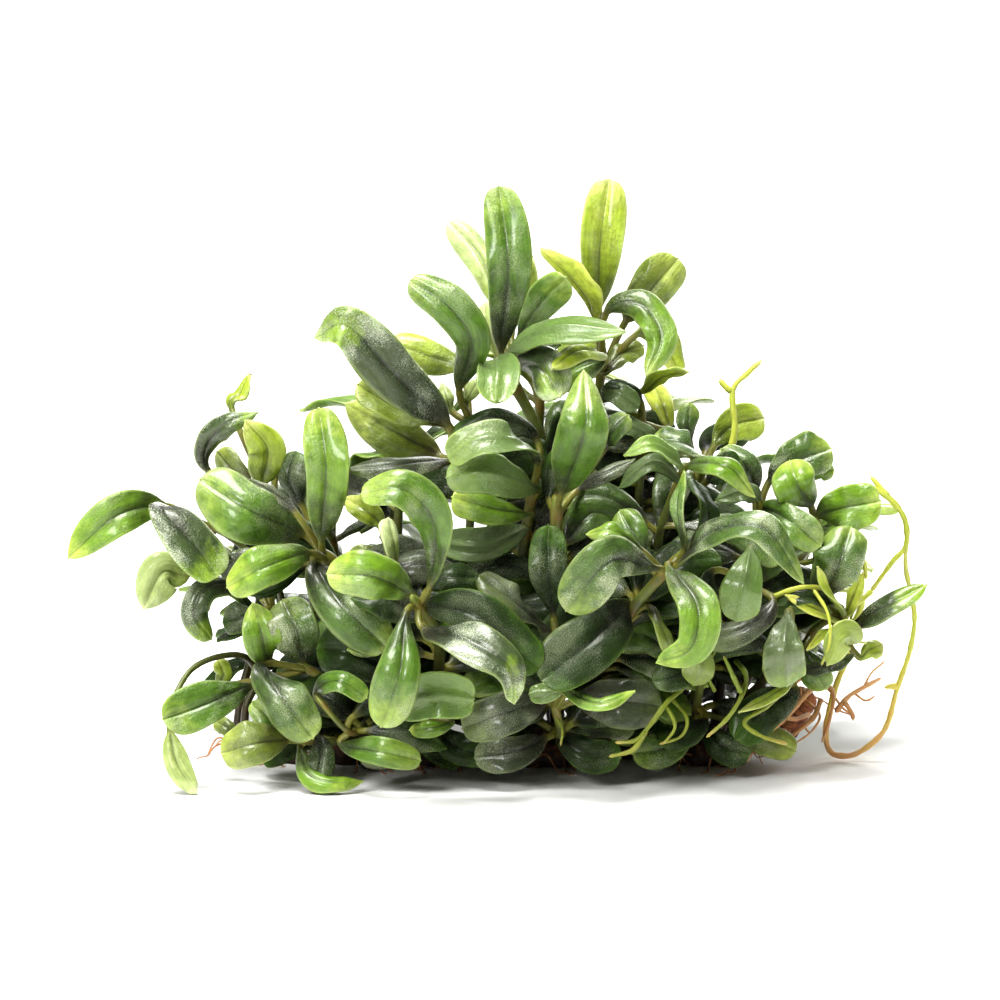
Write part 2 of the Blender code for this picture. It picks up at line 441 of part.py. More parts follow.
# Each root: its radius, its tone, then strands of points seen from the front.
# The strands of one root run into each other at their forks.
ROOTS = {
    "root_loop": (
        0.36, "root",
        (
            (
                (34.6, 17.6, -1), (36.2, 16.5, 0), (35.5, 14.0, 1.4), (34.9, 11.0, 2.6), (33.6, 7.5, 3.2),
                (32.7, 3.4, 2.8), (33.2, 1.1, 2.6), (35.0, 0.6, 2.0), (38.4, 3.2, 1.4), (39.8, 7.6, 0.8),
                (41.0, 11.2, 0.5), (41.5, 14.4, 0), (41.2, 16.8, -0.3), (40.6, 19.6, -0.7), (40.6, 22.2, -1),
            ),
            (
                (33.6, 25.2, -1), (36.2, 27.7, -1.6), (38.6, 26.9, -1.5), (40.4, 24.7, -1), (40.6, 22.0, -1),
                (39.4, 20.5, -1), (38.3, 19.0, -0.5), (37.2, 17.4, 0.5),
            ),
            ((39.8, 7.8, 0.8), (39.1, 7.8, 0.3), (38.5, 7.7, 0)),
            ((38.9, 26.7, -1.5), (37.6, 28.2, -1.2), (37.0, 28.9, -1)),
        ),
    ),
    "root_brown": (
        0.3, "brown root",
        (
            ((33.6, 5.2, 0), (34.8, 6.7, -0.6), (36.0, 7.5, -0.8), (38.2, 8.7, -1.4)),
            ((34.4, 6.4, -0.4), (35.2, 5.2, -1), (35.4, 4.4, -1.2)),
        ),
    ),
    "root_top": (
        0.38, "root",
        (
            ((22.8, 30.5, 3), (23.5, 33.5, 3), (23.3, 37.4, 3.5), (24.8, 39.2, 4), (26.2, 40.5, 4)),
            ((23.3, 37.2, 3.5), (22.4, 38.0, 3.6), (22.0, 38.6, 4)),
        ),
    ),
    "root_low_front": (
        0.3, "root",
        (
            ((23.5, 10.5, -8), (24.5, 9.0, -12), (24.0, 7.0, -15), (22.6, 4.8, -16), (20.5, 2.9, -16.5)),
            ((24.0, 7.2, -15), (22.6, 10.2, -15.4), (22.2, 11.0, -15.4)),
        ),
    ),
    "root_low_right": (
        0.3, "root",
        (
            ((28.2, 7.4, -7), (26.5, 5.9, -13), (24.3, 4.4, -14.4), (26.0, 3.0, -14.6), (28.6, 2.2, -14)),
        ),
    ),
    "root_front_tips": (
        0.3, "root",
        (
            ((18.2, 7.8, -12.5), (16.6, 6.4, -15.5), (14.8, 4.0, -17.5), (13.4, 2.6, -18), (11.4, 2.4, -18)),
            ((14.6, 3.7, -17.6), (13.2, 1.7, -18.4), (10.8, 1.0, -18.6)),
        ),
    ),
    "root_ground_brown": (
        0.36, "brown root",
        (((28.6, 3.4, -0.6), (27.2, 3.0, -3), (25.4, 1.6, -5.6), (24.6, 0.4, -8)),),
    ),
    "root_back_left": (
        0.42, "root",
        (((-13.8, 5.0, 17), (-15.0, 4.4, 20.6), (-13.0, 4.2, 24), (-9.0, 4.6, 25.2)),),
    ),
    "root_back_right": (
        0.42, "root",
        (((12.4, 4.6, 18.6), (14.6, 4.6, 22), (13.4, 4.9, 25.4), (9.6, 4.8, 26)),),
    ),
}


def seen(point):
    """The place of a point measured in the front view."""
    across, up, back = point
    height = (up - back * math.sin(VIEW_TILT)) / math.cos(VIEW_TILT)
    return Vector((across + SHIFT_X, back + SHIFT_Y, height))


def placed(x, y, z):
    """The place of a point measured from the middle of the clump."""
    return Vector((x + SHIFT_X, y + SHIFT_Y, z))


def smooth_path(points, count):
    """Evenly spaced points on a smooth curve through the given ones."""
    ends = [2 * points[0] - points[1], *points, 2 * points[-1] - points[-2]]
    fine = []
    for before, start, end, after in zip(ends, ends[1:], ends[2:], ends[3:]):
        for step in range(CURVE_STEPS):
            t = step / CURVE_STEPS
            fine.append(
                0.5
                * (
                    2 * start
                    + (end - before) * t
                    + (2 * before - 5 * start + 4 * end - after) * t**2
                    + (3 * start - before - 3 * end + after) * t**3
                )
            )
    fine.append(points[-1])
    lengths = [0.0]
    for first, second in zip(fine, fine[1:]):
        lengths.append(lengths[-1] + (second - first).length)
    path = []
    index = 0
    for number in range(count):
        wanted = lengths[-1] * number / (count - 1)
        while index < len(fine) - 2 and lengths[index + 1] < wanted:
            index += 1
        span = max(lengths[index + 1] - lengths[index], 1e-9)
        path.append(fine[index].lerp(fine[index + 1], min((wanted - lengths[index]) / span, 1.0)))
    return path


def half_width(outline, along):
    """The share of the full half width at a place along the blade."""
    rise, fall = OUTLINES[outline]
    widest = rise / (rise + fall)
    return (along / widest) ** rise * ((1 - along) / (1 - widest)) ** fall


def leaf_frames(facing, path):
    """At each point of a leaf's middle line: the point, the way across, and the way its face looks.

    The face turns as little as it can on its way, and leans back towards its facing.
    """
    last = len(path) - 1
    normal = facing.normalized()
    frames = []
    for index, point in enumerate(path):
        ahead = path[min(index + 1, last)] - path[max(index - 1, 0)]
        ahead.normalize()
        across_path = facing - facing.dot(ahead) * ahead
        carried = (normal - normal.dot(ahead) * ahead).normalized()
        if index == 0:
            carried = across_path.normalized()
        wish = across_path if across_path.dot(carried) >= 0 else -across_path
        normal = (carried + wish * FACING_PULL).normalized()
        frames.append((point, ahead.cross(normal), normal))
    return frames


class Leaf:
    """One leaf on its way to its place."""

    def __init__(self, outline, facing, width, tone, points, stem, order):
        self.outline = outline
        self.facing = facing
        self.width = width
        self.tone = tone
        base = points[0]
        reach = range(len(stem) // 3, len(stem) - STEM_END)
        nearest = min(reach, key=lambda i: (stem[i] - base).length)
        step = (stem[nearest] - stem[nearest - 1]) * (NODE_SPACING * (order % 3))
        self.points = [stem[nearest] - step, *points]
        whole = sum((b - a).length for a, b in zip(self.points, self.points[1:]))
        self.blade_start = (self.points[1] - self.points[0]).length / whole

    def path(self, lean, slide):
        """The leaf's middle line, its tip moved by lean and its whole blade by slide."""
        sway = Vector((0.0, math.cos(VIEW_TILT), -math.sin(VIEW_TILT)))
        path = smooth_path(self.points, PATH_POINTS)
        for index, point in enumerate(path):
            along = index / (len(path) - 1)
            point += sway * (lean * along**LEAN_POWER + slide * min(along * SLIDE_ONSET, 1.0))
            point.z = max(point.z, GROUND_LIFT)
        return path

    def cage(self, lean, slide, extra):
        """The corners and faces of the leaf: a ball of four meridians drawn out along its path.

        The first pole is inside the stem and the last is the tip. Each ring between
        has a left edge, an upper face, a right edge and a lower face.
        """
        ball = bmesh.new()
        shares = LEAF_RINGS if self.width > SMALL_LEAF_WIDTH else SMALL_LEAF_RINGS
        bmesh.ops.create_uvsphere(ball, u_segments=4, v_segments=len(shares) + 1, radius=1.0)
        frames = leaf_frames(self.facing, self.path(lean, slide))
        rings = {}
        for vertex in ball.verts:
            rings.setdefault(round(vertex.co.z, 4), []).append(vertex)
        heights = sorted(rings)
        for order, height in enumerate(heights):
            if order == 0:
                along = 0.0
                half = 0.0
            elif order == len(heights) - 1:
                along = 1.0
                half = 0.0
            else:
                share = shares[order - 1]
                along = self.blade_start + (1 - self.blade_start) * share
                half = max(half_width(self.outline, share) * self.width / 2, PETIOLE_RADIUS)
            point, side, normal = frames[round(along * (len(frames) - 1))]
            thick = LEAF_THICKNESS / 2 + extra
            for vertex in rings[height]:
                if half == 0.0:
                    vertex.co = point
                    continue
                ring_radius = math.hypot(vertex.co.x, vertex.co.y)
                x = vertex.co.x / ring_radius
                y = vertex.co.y / ring_radius
                drop = EDGE_DROOP * half * abs(x)
                vertex.co = point + side * x * (half + extra) + normal * (y * thick - drop)
                vertex.co.z = max(vertex.co.z, 0.0)
        bmesh.ops.triangulate(ball, faces=ball.faces)
        ball.verts.index_update()
        corners = [vertex.co.copy() for vertex in ball.verts]
        faces = [[vertex.index for vertex in face.verts] for face in ball.faces]
        ball.free()
        return corners, faces


def tree_of(corners, faces):
    return BVHTree.FromPolygons(corners, faces)


def box_of(corners):
    low = [min(corner[axis] for corner in corners) for axis in range(3)]
    high = [max(corner[axis] for corner in corners) for axis in range(3)]
    return low, high


def boxes_meet(one, other):
    return all(one[0][i] <= other[1][i] and other[0][i] <= one[1][i] for i in range(3))


def blade_faces(corners, faces):
    """The faces past the base of the blade, where leaves of one stem part."""
    ordered = sorted(range(len(corners)), key=lambda i: (corners[i] - corners[0]).length)
    near_stem = set(ordered[:5])
    return [face for face in faces if not near_stem & set(face)]


def touching(leaf, owner, taken, lean, slide):
    """How much the leaf would touch with this sway: ten for each piece of another shoot, one for its own."""
    corners, faces = leaf.cage(lean, slide, CLEARANCE)
    box = box_of(corners)
    whole = None
    blade = None
    hits = 0
    for other_owner, other_box, other_whole, other_blade in taken:
        if not boxes_meet(box, other_box):
            continue
        if other_owner == owner:
            if other_blade is None:
                continue
            blade = blade or tree_of(corners, blade_faces(corners, faces))
            hits += bool(blade.overlap(other_blade))
        else:
            whole = whole or tree_of(corners, faces)
            hits += bool(whole.overlap(other_whole)) * 10
    return hits


def settle(leaf, owner, taken):
    """The corners and faces of the leaf with the least sway that keeps it clear of what is placed."""
    ways = sorted(
        ((lean, slide) for lean in LEANS for slide in SLIDES),
        key=lambda way: abs(way[0]) + SLIDE_COST * abs(way[1]),
    )
    fewest = None
    for lean, slide in ways:
        hits = touching(leaf, owner, taken, lean, slide)
        if fewest is None or hits < fewest:
            fewest = hits
            best = (lean, slide)
        if hits == 0:
            break
    corners, faces = leaf.cage(*best, 0.0)
    trees = tree_of(corners, faces), tree_of(corners, blade_faces(corners, faces))
    taken.append((owner, box_of(corners), *trees))
    return corners, faces


def material_for(tone):
    """A plain finish in this tone."""
    finish = bpy.data.materials.get(tone)
    if finish is None:
        colour, roughness = TONES[tone]
        finish = bpy.data.materials.new(tone)
        finish.use_nodes = True
        shader = finish.node_tree.nodes["Principled BSDF"]
        shader.inputs["Base Color"].default_value = (*colour, 1.0)
        shader.inputs["Roughness"].default_value = roughness
        shader.inputs["Metallic"].default_value = 0.0
    return finish


def mesh_object(name, corners, faces, tone, home):
    """An object in metres from corners in millimetres."""
    mesh = bpy.data.meshes.new(name)
    mesh.from_pydata([corner * MM for corner in corners], [], faces)
    mesh.materials.append(material_for(tone))
    shape = bmesh.new()
    shape.from_mesh(mesh)
    bmesh.ops.recalc_face_normals(shape, faces=shape.faces)
    shape.to_mesh(mesh)
    shape.free()
    obj = bpy.data.objects.new(name, mesh)
    home.objects.link(obj)
    return obj


def tube_object(name, path, radius, tone, home, sides, taper, knobs=0.0):
    """A closed tube along a path, thinner at its far end by taper and swollen here and there by knobs."""
    curve = bpy.data.curves.new(name, "CURVE")
    curve.dimensions = "3D"
    curve.bevel_depth = radius * MM
    curve.bevel_resolution = (sides - 4) // 2
    curve.use_fill_caps = True
    spline = curve.splines.new("POLY")
    spline.points.add(len(path) - 1)
    for index, (spot, point) in enumerate(zip(spline.points, path)):
        spot.co = (*(point * MM), 1.0)
        swell = knobs * math.sin(KNOB_PITCH * index)
        spot.radius = 1.0 - taper * index / (len(path) - 1) + swell
    guide = bpy.data.objects.new(name, curve)
    home.objects.link(guide)
    graph = bpy.context.evaluated_depsgraph_get()
    mesh = bpy.data.meshes.new_from_object(guide.evaluated_get(graph))
    mesh.name = name
    bpy.data.objects.remove(guide)
    shape = bmesh.new()
    shape.from_mesh(mesh)
    bmesh.ops.remove_doubles(shape, verts=shape.verts, dist=WELD)
    bmesh.ops.recalc_face_normals(shape, faces=shape.faces)
    shape.to_mesh(mesh)
    shape.free()
    mesh.materials.clear()
    mesh.materials.append(material_for(tone))
    obj = bpy.data.objects.new(name, mesh)
    home.objects.link(obj)
    return obj


def cut_flat(obj):
    """Cuts the object off level with the ground and closes it there."""
    shape = bmesh.new()
    shape.from_mesh(obj.data)
    cut = bmesh.ops.bisect_plane(
        shape,
        geom=shape.verts[:] + shape.edges[:] + shape.faces[:],
        plane_co=(0, 0, 0),
        plane_no=(0, 0, -1),
        clear_outer=True,
    )
    rim = [item for item in cut["geom_cut"] if isinstance(item, bmesh.types.BMEdge)]
    bmesh.ops.contextual_create(shape, geom=rim)
    bmesh.ops.recalc_face_normals(shape, faces=shape.faces)
    shape.to_mesh(obj.data)
    shape.free()


def fuse(obj, helpers):
    """Joins the helpers to the object with one Boolean, and removes them."""
    group = bpy.data.collections.new("joined")
    for helper in helpers:
        group.objects.link(helper)
    boolean = obj.modifiers.new("join", "BOOLEAN")
    boolean.operation = "UNION"
    boolean.solver = "MANIFOLD"
    boolean.operand_type = "COLLECTION"
    boolean.collection = group
    boolean.material_mode = "TRANSFER"
    bpy.context.view_layer.update()
    graph = bpy.context.evaluated_depsgraph_get()
    joined = bpy.data.meshes.new_from_object(obj.evaluated_get(graph))
    joined.name = obj.name
    obj.modifiers.clear()
    obj.data = joined
    for helper in helpers:
        bpy.data.objects.remove(helper)
    bpy.data.collections.remove(group)


def smoothed(obj):
    obj.data.shade_smooth()
    obj.data.set_sharp_from_angle(angle=SHARP_ANGLE)


def start_scene():
    """An empty scene with one collection for the plant."""
    for obj in list(bpy.data.objects):
        bpy.data.objects.remove(obj)
    plant = bpy.data.collections.new("bucephalandra")
    bpy.context.scene.collection.children.link(plant)
    return plant


def take(owner, obj, taken):
    """Notes the room that a finished tube takes."""
    corners = [vertex.co / MM for vertex in obj.data.vertices]
    faces = [list(face.vertices) for face in obj.data.polygons]
    taken.append((owner, box_of(corners), tree_of(corners, faces), None))


def make_rhizomes(plant, taken):
    """Makes the rhizomes, and returns the radius and axis of each."""
    axes = []
    for name, (radius, points) in RHIZOMES.items():
        axis = []
        for x, y, *height in points:
            axis.append(placed(x, y, height[0] if height else radius * RHIZOME_SINK))
        path = smooth_path(axis, 2 * len(axis))
        axes.append((radius, path))
        rhizome = tube_object(name, path, radius, "rhizome", plant, 6, RHIZOME_TAPER, RHIZOME_KNOBS)
        cut_flat(rhizome)
        take(name, rhizome, taken)
        smoothed(rhizome)
    return axes


def make_roots(plant, taken):
    """Makes the roots, the strands of each fused at their forks."""
    for name, (radius, tone, strands) in ROOTS.items():
        tubes = []
        for strand in strands:
            path = smooth_path([seen(point) for point in strand], len(strand) + 2)
            for point in path:
                point.z = max(point.z, radius * ROOT_LIFT)
            sides = 6 if len(strand) > LONG_STRAND else 4
            tubes.append(tube_object(name, path, radius, tone, plant, sides, ROOT_TAPER))
        for tube in tubes:
            take(name, tube, taken)
        if len(tubes) > 1:
            fuse(tubes[0], tubes[1:])
        tubes[0].name = name
        smoothed(tubes[0])


def foot_of(x, y, axes):
    """Where a stem starts, just above the rhizome under it."""
    start = placed(x, y, 0.0)
    for radius, path in axes:
        for step in range(1, SPAN_STEPS * (len(path) - 1)):
            index, part = divmod(step, SPAN_STEPS)
            point = path[index].lerp(path[index + 1], part / SPAN_STEPS)
            if (point.xy - start.xy).length < radius:
                start.z = max(start.z, point.z + radius + FOOT_GAP)
    return start


def make_stem(name, start, radius, others, plant, taken):
    """Makes a stem, and returns it with the line on which its leaves sit."""
    points = [start, start + Vector((0, 0, FOOT_RISE)), *others]
    bends = smooth_path(points, STEM_BENDS)
    sides = 6 if radius > THICK_STEM else 4
    stem = tube_object(name, bends, radius, "stem", plant, sides, STEM_TAPER)
    take(name, stem, taken)
    line = []
    for first, second in zip(bends, bends[1:]):
        line += [first.lerp(second, step / SPAN_STEPS) for step in range(SPAN_STEPS)]
    return stem, [*line, bends[-1]]


def leaves_behind(crown, count, middle, spread, length, width, tone):
    """The leaves of a shoot behind: they spread from its crown like a fan."""
    leaves = []
    up = Vector((0, 0, 1))
    for number in range(count):
        share = (number * GOLDEN_SHARE + FIRST_SHARE) % 1 - 0.5
        turn = math.radians(middle + spread * share)
        rise = math.radians(FIRST_RISE - LESS_RISE * number + RISE_CHANGE * math.sin(5 * number + length))
        hang = rise - HANG
        reach = length * (REACH_LEAST + REACH_CHANGE * math.cos(3.3 * number + crown.x))
        out = Vector((math.cos(turn), math.sin(turn), 0))
        base = crown + out * STALK_OUT + up * (STALK_OUT - STALK_DROP * number)
        halfway = base + (out * math.cos(rise) + up * math.sin(rise)) * reach * 0.5
        tip = halfway + (out * math.cos(hang) + up * math.sin(hang)) * reach * 0.5
        facing = up * FAN_FACING_UP + out * FAN_FACING_OUT
        outline = FAN_OUTLINES[number % len(FAN_OUTLINES)]
        leaves.append((outline, facing, width, tone, (base, halfway, tip)))
    return leaves


def main():
    plant = start_scene()
    taken = []
    axes = make_rhizomes(plant, taken)
    make_roots(plant, taken)
    shoots = []
    for name, (foot, radius, stem_points, leaves) in FRONT_SHOOTS.items():
        others = [seen(point) for point in stem_points]
        stem, line = make_stem(name, foot_of(*foot, axes), radius, others, plant, taken)
        laid = []
        for outline, facing, width, tone, *points in leaves:
            laid.append((outline, FACINGS[facing], width, tone, [seen(point) for point in points]))
        shoots.append((name, stem, line, laid))
    for name, (foot, radius, crown, *fan) in BACK_SHOOTS.items():
        crown = placed(*crown)
        start = foot_of(*foot, axes)
        knee = start.lerp(crown, KNEE_SHARE) - Vector((0, 0, KNEE_DROP * crown.z))
        stem, line = make_stem(name, start, radius, [knee, crown], plant, taken)
        shoots.append((name, stem, line, leaves_behind(crown, *fan)))
    for name, stem, line, laid in shoots:
        helpers = []
        for order, (outline, facing, width, tone, points) in enumerate(laid):
            leaf = Leaf(outline, facing, width, tone, points, line, order)
            corners, faces = settle(leaf, name, taken)
            helpers.append(mesh_object(f"{name} leaf {order}", corners, faces, tone, plant))
        fuse(stem, helpers)
        smoothed(stem)


main()
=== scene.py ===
import json
import math
import random

import bmesh
import bpy
import numpy as np
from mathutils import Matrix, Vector
from mathutils.bvhtree import BVHTree

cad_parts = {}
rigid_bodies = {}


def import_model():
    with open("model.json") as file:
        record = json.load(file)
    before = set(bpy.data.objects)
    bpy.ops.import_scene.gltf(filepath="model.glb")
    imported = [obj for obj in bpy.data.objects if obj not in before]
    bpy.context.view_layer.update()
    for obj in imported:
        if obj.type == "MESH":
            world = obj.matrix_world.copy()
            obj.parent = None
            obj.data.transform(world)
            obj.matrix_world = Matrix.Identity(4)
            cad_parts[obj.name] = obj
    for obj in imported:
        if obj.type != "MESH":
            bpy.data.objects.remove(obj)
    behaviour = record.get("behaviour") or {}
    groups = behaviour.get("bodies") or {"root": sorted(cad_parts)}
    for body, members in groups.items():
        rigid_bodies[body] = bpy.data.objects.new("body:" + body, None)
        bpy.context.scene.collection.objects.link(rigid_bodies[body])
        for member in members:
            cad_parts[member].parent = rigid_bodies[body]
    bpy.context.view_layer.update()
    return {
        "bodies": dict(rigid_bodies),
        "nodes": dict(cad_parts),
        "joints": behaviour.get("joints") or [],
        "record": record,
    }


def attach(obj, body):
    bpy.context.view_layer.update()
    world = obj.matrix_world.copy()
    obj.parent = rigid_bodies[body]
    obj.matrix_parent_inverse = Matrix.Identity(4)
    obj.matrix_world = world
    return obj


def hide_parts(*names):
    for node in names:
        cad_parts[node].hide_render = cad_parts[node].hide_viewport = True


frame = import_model()

# The rhizomes are the woody creeping stems that the whole clump grows from. They are
# red-brown, lumpy and ringed with the scars of old leaves, they fork at ground level,
# and each is cut flat underneath, so the clump stands on them.
MM = 0.001
SHIFT_X = 0.3
SHIFT_Y = -1.18
CURVE_STEPS = 12
WELD = 0.00001
KNOB_PITCH = 2.2
RHIZOME_SINK = 0.55
RHIZOME_TAPER = 0.15
RHIZOME_KNOBS = 0.13
RHIZOMES = {
    "rhizome_main": (
        1.5,
        ((-17, 0.6), (-8, 3), (2, 2.4), (12, 4), (21.5, 4.4), (28.3, 2.8, 3.3), (31.2, 1.6, 7)),
    ),
    "rhizome_left": (1.15, ((-19.4, 1.4), (-23, 2.6), (-25.6, 5.6), (-26.6, 9))),
    "rhizome_front": (1.15, ((-6, -0.1), (-9.5, -0.7), (-13.8, -2.3))),
    "rhizome_centre_front": (1.15, ((8.4, 0), (5.4, -0.5), (1.4, -0.9))),
    "rhizome_right_front": (1.15, ((17.6, 1.2), (20.2, 0.5), (23.8, -0.7))),
    "rhizome_back_left": (1.3, ((-10.4, 6.4), (-12.5, 10.6), (-17, 16))),
    "rhizome_back": (1.35, ((3.4, 6), (5, 10.5), (9.5, 17))),
    "rhizome_back_right": (1.25, ((17.8, 8.2), (21, 12.5), (24, 17.5))),
}


def placed(x, y, z):
    """The place of a point measured in millimetres from the middle of the clump."""
    return Vector((x + SHIFT_X, y + SHIFT_Y, z))


def smooth_path(points, count):
    """Evenly spaced points on a smooth curve through the given ones."""
    ends = [2 * points[0] - points[1], *points, 2 * points[-1] - points[-2]]
    fine = []
    for before, start, end, after in zip(ends, ends[1:], ends[2:], ends[3:]):
        for step in range(CURVE_STEPS):
            t = step / CURVE_STEPS
            slope = (end - before) * t
            bend = (2 * before - 5 * start + 4 * end - after) * t**2
            sway = (3 * start - before - 3 * end + after) * t**3
            fine.append(0.5 * (2 * start + slope + bend + sway))
    fine.append(points[-1])
    lengths = [0.0]
    for first, second in zip(fine, fine[1:]):
        lengths.append(lengths[-1] + (second - first).length)
    path = []
    index = 0
    for number in range(count):
        wanted = lengths[-1] * number / (count - 1)
        while index < len(fine) - 2 and lengths[index + 1] < wanted:
            index += 1
        span = max(lengths[index + 1] - lengths[index], 1e-9)
        path.append(fine[index].lerp(fine[index + 1], min((wanted - lengths[index]) / span, 1.0)))
    return path


def length_of(path):
    return sum((b - a).length for a, b in zip(path, path[1:]))


def tree_of(corners, faces):
    return BVHTree.FromPolygons(corners, faces)


def box_of(corners):
    low = [min(corner[axis] for corner in corners) for axis in range(3)]
    high = [max(corner[axis] for corner in corners) for axis in range(3)]
    return low, high


def tube_room(path, radius, sides, taper=0.0, knobs=0.0, cut=False):
    """The room that a tube fills, in millimetres, so that the leaves can keep clear of it."""
    curve = bpy.data.curves.new("room", "CURVE")
    curve.dimensions = "3D"
    curve.bevel_depth = radius * MM
    curve.bevel_resolution = (sides - 4) // 2
    curve.use_fill_caps = True
    spline = curve.splines.new("POLY")
    spline.points.add(len(path) - 1)
    for index, (spot, point) in enumerate(zip(spline.points, path)):
        spot.co = (*(point * MM), 1.0)
        spot.radius = 1.0 - taper * index / (len(path) - 1) + knobs * math.sin(KNOB_PITCH * index)
    guide = bpy.data.objects.new("room", curve)
    bpy.context.scene.collection.objects.link(guide)
    evaluated = guide.evaluated_get(bpy.context.evaluated_depsgraph_get())
    mesh = bpy.data.meshes.new_from_object(evaluated)
    shape = bmesh.new()
    shape.from_mesh(mesh)
    bmesh.ops.remove_doubles(shape, verts=shape.verts, dist=WELD)
    if cut:
        everything = shape.verts[:] + shape.edges[:] + shape.faces[:]
        found = bmesh.ops.bisect_plane(
            shape, geom=everything, plane_co=(0, 0, 0), plane_no=(0, 0, -1), clear_outer=True
        )
        rim = [item for item in found["geom_cut"] if isinstance(item, bmesh.types.BMEdge)]
        bmesh.ops.contextual_create(shape, geom=rim)
    shape.verts.index_update()
    corners = [vertex.co / MM for vertex in shape.verts]
    faces = [[vertex.index for vertex in face.verts] for face in shape.faces]
    shape.free()
    bpy.data.objects.remove(guide)
    bpy.data.curves.remove(curve)
    bpy.data.meshes.remove(mesh)
    return box_of(corners), tree_of(corners, faces), None


def swept(path, radii, sides):
    """Corners and faces of a closed skin along a path, with one radius or a ring of them to each point."""
    last = len(path) - 1
    side = None
    corners = []
    for index, (point, ring) in enumerate(zip(path, radii)):
        ahead = (path[min(index + 1, last)] - path[max(index - 1, 0)]).normalized()
        if side is None:
            side = ahead.orthogonal().normalized()
        side = (side - side.dot(ahead) * ahead).normalized()
        other = ahead.cross(side)
        for number in range(sides):
            turn = math.tau * number / sides
            radius = ring[number] if isinstance(ring, list) else ring
            corners.append(point + (side * math.cos(turn) + other * math.sin(turn)) * radius)
    faces = []
    for index in range(last):
        for number in range(sides):
            after = (number + 1) % sides
            row = index * sides
            faces.append((row + number, row + after, row + sides + after, row + sides + number))
    faces.append(tuple(range(sides - 1, -1, -1)))
    faces.append(tuple(range(last * sides, last * sides + sides)))
    return corners, faces


def built(name, corners, faces, skins, slot, *nodes, marks=None, picks=None):
    """One finished piece of the plant, standing where its solids stand."""
    mesh = bpy.data.meshes.new(name)
    mesh.from_pydata([tuple(corner * MM) for corner in corners], [], faces)
    for skin in skins:
        mesh.materials.append(skin)
    if picks is not None:
        mesh.polygons.foreach_set("material_index", picks)
    for mark, values in (marks or {}).items():
        kind = "FLOAT" if np.ndim(values) == 1 else "FLOAT_VECTOR"
        layer = mesh.attributes.new(mark, kind, "POINT")
        layer.data.foreach_set("value" if kind == "FLOAT" else "vector", np.ravel(values))
    mesh.shade_smooth()
    piece = bpy.data.objects.new(name, mesh)
    bpy.context.scene.collection.objects.link(piece)
    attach(piece, "root")
    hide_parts(*nodes)
    return piece


def skin_tree(name):
    """A new material with its node tree and the shader in it."""
    skin = bpy.data.materials.new(name)
    skin.use_nodes = True
    return skin, skin.node_tree, skin.node_tree.nodes["Principled BSDF"]


def node(tree, kind, inputs, **settings):
    """One shader node with its inputs set or linked, and its settings."""
    made = tree.nodes.new("ShaderNode" + kind)
    for setting, value in settings.items():
        setattr(made, setting, value)
    for socket, value in inputs.items():
        if isinstance(value, bpy.types.NodeSocket):
            tree.links.new(value, made.inputs[socket])
        else:
            made.inputs[socket].default_value = value
    return made


def mark(tree, name, socket="Fac"):
    """A value that each corner of the mesh carries."""
    return node(tree, "Attribute", {}, attribute_name=name).outputs[socket]


def position(tree):
    return node(tree, "NewGeometry", {}).outputs["Position"]


def sums(tree, operation, first, second=0.0):
    return node(tree, "Math", {0: first, 1: second}, operation=operation).outputs[0]


def plus(tree, first, second):
    return sums(tree, "ADD", first, second)


def times(tree, first, second):
    return sums(tree, "MULTIPLY", first, second)


def swayed(tree, value, pattern, amount):
    """A value moved up and down by an uneven pattern."""
    return plus(tree, value, times(tree, sums(tree, "SUBTRACT", pattern, 0.5), amount))


def eased(tree, value, start, end, low=0.0, high=1.0):
    """A value that eases from low to high as another goes from start to end."""
    inputs = {"Value": value, "From Min": start, "From Max": end, "To Min": low, "To Max": high}
    return node(tree, "MapRange", inputs, interpolation_type="SMOOTHSTEP").outputs["Result"]


def mixed(tree, factor, first, second):
    """One colour laid over another."""
    sockets = {0: factor, 6: first, 7: second}
    return node(tree, "Mix", sockets, data_type="RGBA", clamp_factor=True).outputs[2]


def colours(tree, value, *stops):
    """A run of colours along a value."""
    ramp = node(tree, "ValToRGB", {"Fac": value})
    run = ramp.color_ramp
    while len(run.elements) < len(stops):
        run.elements.new(0.5)
    for element, (place, colour) in zip(run.elements, stops):
        element.position = place
        element.color = (*colour, 1.0)
    return ramp.outputs["Color"]


def mottle(tree, vector, scale, detail=3.0, stretch=(1.0, 1.0, 1.0)):
    """Soft uneven patches, stretched along the grain."""
    laid = node(tree, "Mapping", {"Vector": vector, "Scale": stretch}).outputs["Vector"]
    inputs = {"Vector": laid, "Scale": scale, "Detail": detail, "Roughness": 0.6}
    return node(tree, "TexNoise", inputs).outputs["Fac"]


def dented(tree, shader, *layers):
    """Lays relief on the shader, each layer a height, a strength and a depth in millimetres."""
    normal = None
    for height, strength, depth in layers:
        inputs = {"Height": height, "Strength": strength, "Distance": depth * MM}
        if normal is not None:
            inputs["Normal"] = normal
        normal = node(tree, "Bump", inputs).outputs["Normal"]
    tree.links.new(normal, shader.inputs["Normal"])


